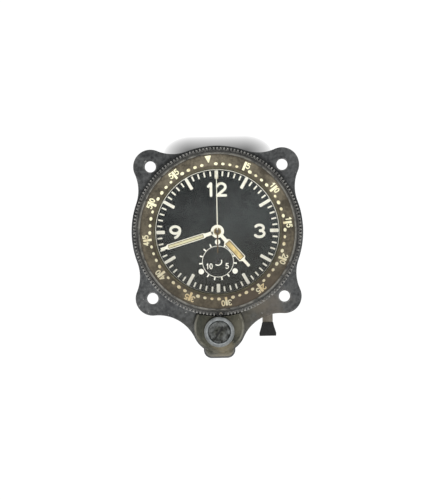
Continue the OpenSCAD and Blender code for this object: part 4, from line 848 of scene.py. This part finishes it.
foot = mirrored([(TOOTH_FOOT, z0), (TOOTH_FOOT, z1)])
crest = mirrored([(TOOTH_CREST, z0 + 0.35), (TOOTH_CREST, z1 - 0.45)])
foot_y, crest_y = root_r - TOOTH_SUNK - tip_r, -0.02
loops = [[bm.verts.new((x, y, z)) for x, z in loop] for loop, y in ((foot, foot_y), (crest, crest_y))]
bridge(bm, loops)
bm.faces.new(loops[1])
teeth = ring_of("bezel_teeth", bm, TEETH, tip_r, BEZEL_TURN, "bezel", tooth_paint)
notch = clock_turn(NOTCH_TURN)
# painted shade: a black plate over the teeth where the notch is deep
stamp("bezel_notch", mirrored([(1.35, 27.7), (1.35, 29.2)]), z1 - 0.6, z1 + 0.05,
      "bezel", rubber, "case_paint", move=notch)
stamp("notch_wire", [(0, 27.9), (0.75, 28.9), (0.4, 28.95), (0, 28.4), (-0.4, 28.95), (-0.75, 28.9)],
      z1 - 0.2, z1 + 0.1, "bezel", tarnished, "case_paint", move=notch)
print("bezel teeth:", TEETH, "faces:", len(teeth.data.polygons))

# %% [markdown]
# ## Digits drawn as strokes
# Such numbers were engraved with a round cutter or printed with an even line, so each digit is a set of
# strokes with round ends, in a box one unit high. A text object would be shorter, but fonts seldom have such
# even strokes, and each digit here can be made to match the photograph.

# %% Digits
DIGIT_WIDE, STROKE_LIFT = 0.62, 0.002
STROKES = {
    "0": [arc(0, 0, 0.27, 0.5, 0, 360, 24)],
    "1": [[(-0.2, 0.26), (0.02, 0.5)], [(0.05, 0.5), (0.05, -0.5)]],
    "2": [arc(0, 0.2, 0.29, 0.3, 165, -38, 18) + [(-0.28, -0.49)], [(-0.28, -0.5), (0.31, -0.5)]],
    "3": [arc(-0.02, 0.25, 0.27, 0.25, 150, -80, 18), arc(-0.02, -0.23, 0.31, 0.27, 82, -152, 18)],
    "4": [[(0.12, -0.5), (0.12, 0.5)], [(0.1, 0.48), (-0.3, -0.22)], [(-0.3, -0.22), (0.32, -0.22)]],
    "5": [[(0.26, 0.5), (-0.19, 0.5)], [(-0.19, 0.5), (-0.24, 0.06)],
          arc(-0.02, -0.17, 0.3, 0.33, 132, -145, 18)],
    "9": [arc(0, 0.2, 0.28, 0.3, 0, 360, 24), arc(-0.12, 0.2, 0.4, 0.7, 0, -72, 14)],
}


def digit_into(bm, digit, x, y, width, height, stroke, z0, z1, turn=0.0):
    """Adds a digit about a face point, turned clockwise; each stroke lies a hair higher."""
    c, s = polar(1, turn)
    for k, pts in enumerate(STROKES[digit]):
        sized = [(px * width / DIGIT_WIDE, py * height) for px, py in pts]
        moved = [(x + px * c + py * s, y - px * s + py * c) for px, py in sized]
        ribbon_into(bm, moved, stroke, z0, z1 + STROKE_LIFT * k)


print("digits:", " ".join(STROKES))

# %% [markdown]
# ## The scale ring
# Sixty minutes: a dot for each, a bar for each five with its number split to the left and right of the bar,
# and a triangle at zero that the pilot turns to the minute hand to mark a take-off time. The marks are drawn
# flat and then laid on the cone, which is simpler than drawing each of them on a slope.

# %% Scale ring
scale_back, scale_front = depth("bezel_scale")
lathe("scale_ring", soften([
    (SCALE_R0, scale_back), (SCALE_R1, scale_back + SCALE_RISE), (SCALE_R1, scale_front),
    (SCALE_R0, scale_front - SCALE_RISE)], 0.08), "bezel", scale_lacquer, "bezel_scale", 300)


def lay_on_scale(piece):
    """Lifts a flat drawing onto the cone of the scale ring."""
    for v in piece.data.vertices:
        inward = (SCALE_R1 - math.hypot(v.co.x, v.co.z) / MM) / (SCALE_R1 - SCALE_R0)
        v.co.y -= (scale_front - SCALE_RISE * inward) * MM


SUNK, PROUD, DOT_DOME, DOT_LONG = -0.1, 0.04, 0.03, 1.25
DOT_R, BAR_R0, BAR_R1, NUMBER_R, NUMBER_OFF = 23.5, 23.0, 26.1, 25.05, 1.18
ZERO_TIP, ZERO_BASE, ZERO_HALF = 23.8, 26.5, 2.5
bm = bmesh.new()
lathe_into(bm, [(0.0, SUNK), (0.54, SUNK), (0.48, PROUD), (0.0, PROUD + DOT_DOME)], 16)
bmesh.ops.scale(bm, vec=(DOT_LONG, 1, 1), verts=bm.verts)
dots = ring_of("scale_dots", bm, 60, DOT_R, BEZEL_TURN, "bezel", yellow_mark, 5, 0.16)
bar = block(0.85, BAR_R0 - DOT_R, BAR_R1 - DOT_R, SUNK, PROUD, 0.2)
bars = ring_of("scale_bars", bar, 12, DOT_R, BEZEL_TURN, "bezel", yellow_mark, 12, 0.05)
bm = bmesh.new()
up = 90 - BEZEL_TURN
zero = [polar(ZERO_BASE, up + ZERO_HALF), polar(ZERO_BASE, up - ZERO_HALF), polar(ZERO_TIP, up)]
stamp_into(bm, soften(zero, 0.2), SUNK, PROUD)
for minute in range(5, 60, 5):
    turn = BEZEL_TURN + 6 * minute
    x, y = polar(NUMBER_R, 90 - turn)
    for side, digit in zip((1, -1), str(minute)[::-1]):
        sx, sy = polar(NUMBER_OFF * side, -turn)
        digit_into(bm, digit, x + sx, y + sy, 1.05, 1.75, 0.38, SUNK, PROUD, turn)
numbers = add_mesh("scale_numbers", bm, "bezel", yellow_mark)
for piece in (dots, bars, numbers):
    lay_on_scale(piece)
print("scale marks:", dots.name, bars.name, numbers.name)

# %% [markdown]
# ## Rings round the glass
# A dark ring slopes from the dial up to the glass, and another holds the glass down. A thin bright line at the
# foot of the inner ring is a painted highlight on its edge. The line could be a band in the paint, but a thin
# ring of its own stays sharp.

# %% Glass rings
GLINT_R0, GLINT_R1, GLINT_HIGH = 21.43, 21.65, 0.12
slope_front, hold_front = front("rehaut_ring"), front("glass_ring")
lathe("dial_ring", soften([(21.6, DIAL), (22.8, DIAL), (22.8, slope_front), (21.75, slope_front)], 0.06),
      "case", black_paint, "rehaut_ring")
lathe("glass_retainer", soften([(21.65, GLASS), (23.3, GLASS), (23.3, hold_front), (22.0, hold_front)], 0.1),
      "case", ring_brown, "glass_ring")
glint_top = DIAL + GLINT_HIGH
# painted highlight: a thin pale ring along the edge of the dial ring
lathe("bright_line", [(GLINT_R0, DIAL), (GLINT_R1, DIAL), (GLINT_R1, glint_top), (GLINT_R0, glint_top)],
      "case", white_mark)
print(f"rings end at {slope_front:.2f} and {hold_front:.2f} mm")

# %% [markdown]
# ## Dial marks
# The dial is printed: short ticks for the minutes, long ones for the hours, and three large numerals. A picture
# on the dial would do from afar; thin solids keep sharp edges close up and have a paint of their own.

# %% Dial marks
z0, z1 = DIAL - 0.02, DIAL + 0.05
# Name, width, inner and outer end, corner, count, ring radius, left out, spread.
TICKS = (
    ("minute_ticks", 0.56, -0.95, 0.8, 0.15, 60, 20.25, 5, 0.03),
    ("hour_ticks", 1.1, -2.15, 2.15, 0.3, 12, 19.25, 3, 0.02),
    ("quarter_ticks", 1.2, -1.5, 1.5, 0.3, 4, 19.8, 0, 0.0),
)
for name, width, inner, outer, corner, count, r, leave_out, spread in TICKS:
    tick = block(width, inner, outer, z0, z1, corner)
    ring_of(name, tick, count, r, 0, "case", white_mark, leave_out, spread)
bm = bmesh.new()
for digit, x, y, width, height in (("1", -2.15, 14.6, 2.3, 4.2), ("2", 1.6, 14.6, 3.1, 4.2),
                                   ("3", 14.75, -0.1, 3.3, 4.15), ("9", -14.7, -0.05, 3.6, 4.0)):
    digit_into(bm, digit, x, y, width, height, 0.92, z0, z1)
add_mesh("dial_numerals", bm, "case", white_mark)
print("rings of ticks:", ", ".join(row[0] for row in TICKS))

# %% [markdown]
# The small counter for fifteen minutes has a ring, ticks and dots of its own. They are made like those of the
# dial, about another centre.

# %% Counter marks
COUNTER_R, COUNTER_TICK_R, COUNTER_DOT_R = 5.4, 6.05, 6.8
cx, cy = COUNTER
bm = bmesh.new()
ribbon_into(bm, arc(cx, cy, COUNTER_R, COUNTER_R, 0, 360, 90), 0.18, z0, z1)
for digit, x, width in (("1", -3.65, 0.75), ("0", -2.45, 0.95), ("5", 3.15, 0.95)):
    digit_into(bm, digit, cx + x, cy - 1.6, width, 1.75, 0.3, z0, z1)
add_mesh("counter_print", bm, "case", counter_mark)
tick = block(0.5, -0.5, 0.55, z0, z1, 0.1)
ring_of("counter_ticks", tick, 15, COUNTER_TICK_R, 0, "case", counter_mark, 5, centre=COUNTER)
bm = bmesh.new()
lathe_into(bm, [(0.0, z0), (0.98, z0), (0.9, z1), (0.0, z1)], 24)
ring_of("counter_dots", bm, 3, COUNTER_DOT_R, 0, "case", counter_mark, centre=COUNTER)
print(f"counter at {cx:.2f}, {cy:.2f} mm")

# %% [markdown]
# ## The hands
# A stamped frame carries a strip of luminous paint, which has browned most on the hour hand. The strip could be
# a patch of colour, but a thin solid in a dark groove has the edge and the small shadow of the real one.

# %% Hour and minute hands
HUB_R, NECK_HALF, NECK_Y, BODY_Y, TAPER, TIP_HALF = 2.3, 0.6325, 1.6, 4.3, 0.6, 0.5
END_GAP = 0.6


def baton(length, width, tip_len):
    """Outline of a hand along +y: neck, body and tip."""
    half, tip = width / 2, length - tip_len
    return mirrored([(NECK_HALF, NECK_Y), (NECK_HALF, BODY_Y), (half, BODY_Y + TAPER), (half, tip - TAPER),
                     (TIP_HALF, tip), (TIP_HALF, length)])


def strip(length, width, tip_len, inset):
    """Outline of the luminous strip inside the body of a hand."""
    half, gap = width / 2 - inset, TAPER + inset * END_GAP
    return soften(mirrored([(half, BODY_Y + gap), (half, length - tip_len - gap)]), 0.2)


# Name, clock angle, length, width, length of the tip, width of the rim and of the groove, paint, bore.
HANDS = (
    ("hour", 138.5, 16.4, 2.7, 2.9, 0.26, 0.34, tan_lume, 1.95),
    ("minute", 253.4, 20.7, 1.85, 2.0, 0.28, 0.22, straw_lume, 1.3),
)
for name, angle, length, width, tip_len, rim, groove, paint, bore in HANDS:
    node, turn = name + "_hand", clock_turn(angle)
    h0, h1 = depth(node)
    bm = bmesh.new()
    stamp_into(bm, baton(length, width, tip_len), h0, h1, 0.06)
    lathe_into(bm, soften([(bore, h0), (HUB_R, h0), (HUB_R, h1), (bore, h1)], 0.06), 64)
    add_mesh(name + "_blade", bm, name, cream, node, move=turn)
    stamp(name + "_groove", strip(length, width, tip_len, rim), h1 - 0.1, h1 + 0.015,
          name, brown_edge, "hand_paint", move=turn)
    stamp(name + "_lume", strip(length, width, tip_len, rim + groove), h1 - 0.1, h1 + 0.05,
          name, paint, "hand_paint", chamfer=0.03, move=turn)
print("hands:", ", ".join(row[0] for row in HANDS))

# %% [markdown]
# The two thin hands are stampings with a turned cap: a sweep needle with a dark tail, and a black counter
# hand with a pale crescent round its cap, a painted highlight on the cap's rounded edge. Needle and tail are
# two pieces, because they have two paints.

# %% Sweep and counter hands
h0, h1 = depth("sweep_hand")
stamp("sweep_needle", mirrored([(0.17, 0.6), (0.12, 21)]), h0, h1,
      "sweep", cream, "hand_paint", "sweep_hand", 0.04)
stamp("sweep_tail", mirrored([(0.16, -7.5), (0.3, 0)]), h0, h1,
      "sweep", brown_edge, "black_paint", chamfer=0.04)
lathe("sweep_cap", soften([(0.0, h0), (0.88, h0), (0.88, h1 - 0.02), (0.3, h1), (0.0, h1)], 0.05),
      "sweep", brown_edge, segments=48)
h0, h1 = depth("counter_hand")
bm = bmesh.new()
stamp_into(bm, mirrored([(0.32, -1.4), (0.15, 4.6)]), h0, h1, 0.04)
lathe_into(bm, soften([(0.0, h0), (0.9, h0), (0.9, h1 - 0.1), (0.4, h1), (0.0, h1)], 0.05), 48)
at_counter = Matrix.Translation((cx, cy, 0))
add_mesh("counter_blade", bm, "counter", black_paint, "counter_hand", move=at_counter)
# painted highlight: a pale crescent round the counter hand's cap
bm = bmesh.new()
ribbon_into(bm, arc(cx, cy, 1.3, 1.3, -125, 20, 16), 0.36, h0, h1 + 0.02)
add_mesh("counter_glint", bm, "counter", counter_mark)
print("hands: sweep, counter")

# %% [markdown]
# ## Winding housing
# A cast boss with a rounded shoulder and a nose that slopes back to the edge of the tongue. It is drawn as
# two solids, and the room for the bezel and the bore for the crown are cut out of both. A boolean is the right
# tool here: round cuts that cross a dome and a slope are hard to draw.

# %% Housing


def carve(name, bm, tool):
    """Cuts a closed drawing out of another one, whose shells may overlap."""
    solid, cutter = (new_object(name, to_mesh(name, drawing)) for drawing in (bm, tool))
    cut = solid.modifiers.new("cut", "BOOLEAN")
    cut.operation, cut.object, cut.solver, cut.use_self = "DIFFERENCE", cutter, "EXACT", True
    mesh = evaluated(solid)
    bpy.data.objects.remove(cutter)
    return join(bmesh.new(), mesh)


HOUSE_R, SHOULDER, ROOF, STEP, NOSE_EDGE, NOSE_HIGH = 8.9, 2.4, 2.2, 0.5, 0.35, 1.6
CROWN_R, BEZEL_ROOM, SLEEVE_R, SHAFT_R, PAST = 5.25, 29.65, 3.8, 2.45, 2
house_top = front("winding_housing")
bm = bmesh.new()
dome = arc(HOUSE_R - SHOULDER, house_top - SHOULDER, SHOULDER, SHOULDER, 0, 90, 15)
lathe_into(bm, [(0.0, Z_FLANGE), (HOUSE_R, Z_FLANGE)] + dome + [(0.0, house_top)], 160, TONGUE)
nose = bmesh.new()
corner = NOSE_R - STEP
slope = (NOSE_FOOT + NOSE_R, Z_FLANGE + NOSE_HIGH), (CROWN[1] - CROWN_R, house_top - SHOULDER)
for x0 in (NOSE_R - NOSE_HALF, NOSE_HALF - NOSE_R):
    for y0, top in slope:
        for a in range(0, 360, 10):
            for r, z in ((corner, Z_FLANGE), (corner, top - NOSE_EDGE), (corner - NOSE_EDGE, top)):
                x, y = polar(r, a)
                nose.verts.new((x0 + x, y0 + y, z))
bmesh.ops.convex_hull(nose, input=nose.verts)
bmesh.ops.delete(nose, geom=[v for v in nose.verts if not v.link_faces], context="VERTS")
join(bm, to_mesh("nose", nose))
tool = bmesh.new()
z0, z1 = Z_FLANGE - PAST, house_top + PAST
lathe_into(tool, [(0.0, z0), (BEZEL_ROOM, z0), (BEZEL_ROOM, z1), (0.0, z1)], 360)
lathe_into(tool, [(0.0, z0), (SLEEVE_R, z0), (SLEEVE_R, house_top - ROOF), (SHAFT_R, house_top - ROOF),
                  (SHAFT_R, z1), (0.0, z1)], 96, CROWN)
bm = carve("housing", bm, tool)
housing = add_mesh("housing_casting", bm, "case", housing_paint, "winding_housing", 40)
print("housing faces:", len(housing.data.polygons))

# %% [markdown]
# ## Crown
# Turned, with a chamfer for the fingers and a recess for a dark, slotted disc. The slot could be cut, but it is
# so narrow that a thin black stamp on the disc, painted shade for the depth of the slot, looks the same and
# keeps the disc a clean lathe piece.

# %% Crown
SLOT_TURN, SLOT_HALF, SLOT_LONG, RECESS_R, RECESS_DEEP = 33, 0.3, 2.25, 3.95, 1.3
c0, c1 = depth("crown")
lathe("crown_ring", soften([
    (0.0, c0), (4.9, c0), (CROWN_R, c0 + 0.4), (CROWN_R, c1 - 0.4), (4.85, c1), (4.2, c1),
    (RECESS_R, c1 - 0.25), (RECESS_R, c1 - RECESS_DEEP), (0.0, c1 - RECESS_DEEP)], 0.12),
    "crown", plated, "crown", 160, CROWN)
d0, d1 = depth("crown_disc")
lathe("crown_face", soften([(0.0, d0), (3.9, d0), (3.9, d1 - 0.1), (3.6, d1), (0.0, d1)], 0.05),
      "crown", blackened, "crown_disc", 128, CROWN)
# painted shade: a thin black stamp where the slot is
slot = mirrored([(SLOT_HALF, -SLOT_LONG), (SLOT_HALF, SLOT_LONG)])
stamp("crown_slot", soften(slot, 0.25), d1 - 0.05, d1 + 0.01, "crown", rubber, "crown_dark",
      move=Matrix.Translation((*CROWN, 0)) @ clock_turn(SLOT_TURN))
print(f"crown from {c0:.1f} to {c1:.1f} mm")

# %% [markdown]
# ## The spring under the crown
# The crown is pushed in against a short coil, which stands still at its lower end and gives as much as the
# crown travels. So it rides the case. A Screw modifier could wind it; a loop closes both ends of the wire as
# well.

# %% Crown spring
WIRE, PUSH, TURNS, TURN_STEPS, WIRE_SIDES = 0.2, 1.5, 3, 28, 8


def coil_into(bm, centre, r, z0, z1):
    """Adds a round wire wound about an axis, with both ends closed."""
    section = circle(0, 0, WIRE, WIRE_SIDES)
    steps = TURNS * TURN_STEPS
    rings = []
    for i in range(steps + 1):
        x, y = polar(1, 360 * i / TURN_STEPS)
        z = z0 + WIRE + (z1 - z0 - 2 * WIRE) * i / steps
        at = [(centre[0] + (r + u) * x, centre[1] + (r + u) * y, z + v) for u, v in section]
        rings.append([bm.verts.new(place) for place in at])
    bridge(bm, rings)
    bm.faces.new(rings[0])
    bm.faces.new(rings[-1])


s0, s1 = depth("crown_spring")
bm = bmesh.new()
coil_into(bm, CROWN, radius("crown_spring") - WIRE, s0, s1)
coil = add_mesh("spring_coil", bm, "case", steel, "crown_spring")
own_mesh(coil)
print(f"spring {s1 - s0:.2f} mm long, gives {PUSH} mm")

# %% [markdown]
# ## Setting lever
# A flat bar slides out of the flange. Its black grip flares towards the end, so that a fingernail can pull it.
# Both are stamped from half an outline and its mirror image, which keeps them even.

# %% Lever
BAR_TOP, BAR_FOOT = -18, -32.4
lever_x, half, wide = middle("setting_lever")[0], radius("setting_lever"), radius("lever_grip")
stamp("lever_bar", mirrored([(half, BAR_FOOT), (half, BAR_TOP)], lever_x), *depth("setting_lever"),
      "setting_lever", tarnished, "lever_metal", "setting_lever", 0.12)
flare = [(half + 0.1, -32), (half + 0.35, -33.2), (wide, -35.8), (wide - 0.05, -36.8)]
stamp("lever_handle", soften(mirrored(flare, lever_x), 0.25), *depth("lever_grip"),
      "setting_lever", grip_black, "grip_plastic", "lever_grip", 0.15)
print(f"lever at x {lever_x:.2f} mm")

# %% [markdown]
# ## Studio
# The clock hangs in front of a white board, as if it lay on a table and were photographed from above. The
# light comes from below, so the shadow falls above the clock. A board that glows shows no lamp's shadow, so its
# glow is dimmed where the shadow falls. The board can't be seen from behind.

# %% Board and floor


def plane(name, middle, across, up, mat):
    """A flat piece of the stage, from its middle and two half sides."""
    m, a, b = Vector(middle), Vector(across), Vector(up)
    mesh = bpy.data.meshes.new(name)
    mesh.from_pydata([m - a - b, m + a - b, m + a + b, m - a + b], [], [(0, 1, 2, 3)])
    mesh.materials.append(mat)
    new_object(name, mesh)


def white(m, paint, glow):
    """A white matt surface that glows and lets rays through from behind."""
    behind, clear = m.node("NewGeometry", out="Backfacing"), m.node("BsdfTransparent")
    m.surface(m.node("MixShader", {0: behind, 1: m.shader.outputs[0], 2: clear}))
    more = {"Emission_Color": grey(1), "Emission_Strength": glow, "Specular_IOR_Level": 0.0}
    return m.finish(grey(paint), 1.0, **more)


def board_white():
    """A lit board: even white, but for the soft shadow of the can above the clock."""
    m = Recipe("board white")
    aside = m.span(m.calc("ABSOLUTE", m.calc("SUBTRACT", m.axis("X"), 0.0006)), 0.0092, 0.0191)
    above = m.span(m.axis("Z"), 0.0272, 0.0336)
    far = m.calc("SQRT", m.plus(m.calc("POWER", aside, 2.0), m.calc("POWER", above, 2.0)))
    shade = m.times(m.calc("POWER", m.span(far, 1.0, 0.2), 0.6), m.span(m.axis("Z"), 0.0, 0.02))
    return white(m, 0.02, m.span(shade, 0.0, 1.0, 1.03, 0.15))


BOARD, FLOOR = cad_high.y + 0.0005, -0.4
plane("board", (0, BOARD, FLOOR + 0.5), (0.6, 0, 0), (0, 0, 0.5), board_white())
plane("floor", (0, 0, FLOOR), (1.5, 0, 0), (0, 2, 0), white(Recipe("floor white"), 0.9, 0.2))
print("board at", round(BOARD, 4), "m")

# %% [markdown]
# ## Light
# A lamp below the lens shades the edges, and a wide one at the upper left fills in. The world is white to the
# camera and in reflections, and dim as a lamp, so that a colour renders about as it is written. Stronger lamps
# would whiten the background too, but they would bleach the paint.

# %% Light
WORLD_LEVEL = 0.24


def lamp(name, place, size, power):
    """A round lamp that looks at the middle of the dial."""
    light = bpy.data.lights.new(name, "AREA")
    light.energy, light.shape, light.size = power, "DISK", size
    made = new_object(name, light)
    made.location = place
    made.rotation_euler = (-Vector(place)).to_track_quat("-Z", "Y").to_euler()
    return made


lamp("key", (0.02, -1.0, -0.115), 0.12, 7.6).visible_glossy = False
lamp("fill", (-0.5, -0.8, 0.5), 0.5, 0.96)
world = bpy.data.worlds.new("studio")
bpy.context.scene.world = world
world.use_nodes = True
sky, nodes = Tree(world.node_tree), world.node_tree.nodes
path = nodes.new("ShaderNodeLightPath").outputs
seen = path["Is Camera Ray"]
for ray in ("Is Glossy Ray", "Is Transmission Ray"):
    seen = sky.calc("MAXIMUM", seen, path[ray])
level = sky.node("MapRange", {"Value": seen, "To Min": WORLD_LEVEL, "To Max": 1.0})
sky.feed(level, nodes["Background"].inputs["Strength"])
sky.feed(grey(1), nodes["Background"].inputs["Color"])
print("world light:", WORLD_LEVEL)

# %% [markdown]
# ## Camera
# A long lens, square to the dial. The photograph shows 2.87 pixels to a millimetre, the dial axis a little
# right of and above the middle, and the whole clock turned one degree to the left. A shorter lens would show
# the sides of bezel and housing.

# %% Camera
PX_MM, WIDE, TALL, AXIS_PX, ROLL = 2.87, 426, 500, (217.4, 231.4), math.radians(1.1)
DISTANCE, SENSOR = 2.5, 36
cam = bpy.data.cameras.new("camera")
cam.sensor_width = SENSOR
cam.lens = SENSOR * DISTANCE / (TALL / PX_MM * MM)
cam.clip_start, cam.clip_end = 0.05, 20
camera = new_object("camera", cam)
off_x, off_z = (AXIS_PX[0] - WIDE / 2) / PX_MM * MM, (TALL / 2 - AXIS_PX[1]) / PX_MM * MM
camera.location = (-off_x * math.cos(ROLL) - off_z * math.sin(ROLL), -DISTANCE - DIAL * MM,
                   -off_z * math.cos(ROLL) + off_x * math.sin(ROLL))
upright = Matrix.Rotation(math.radians(90), 4, "X")
camera.rotation_euler = (upright @ Matrix.Rotation(-ROLL, 4, "Z")).to_euler()
bpy.context.scene.camera = camera
bpy.context.scene.view_settings.view_transform = "Standard"
print("lens", round(cam.lens, 1), "mm")
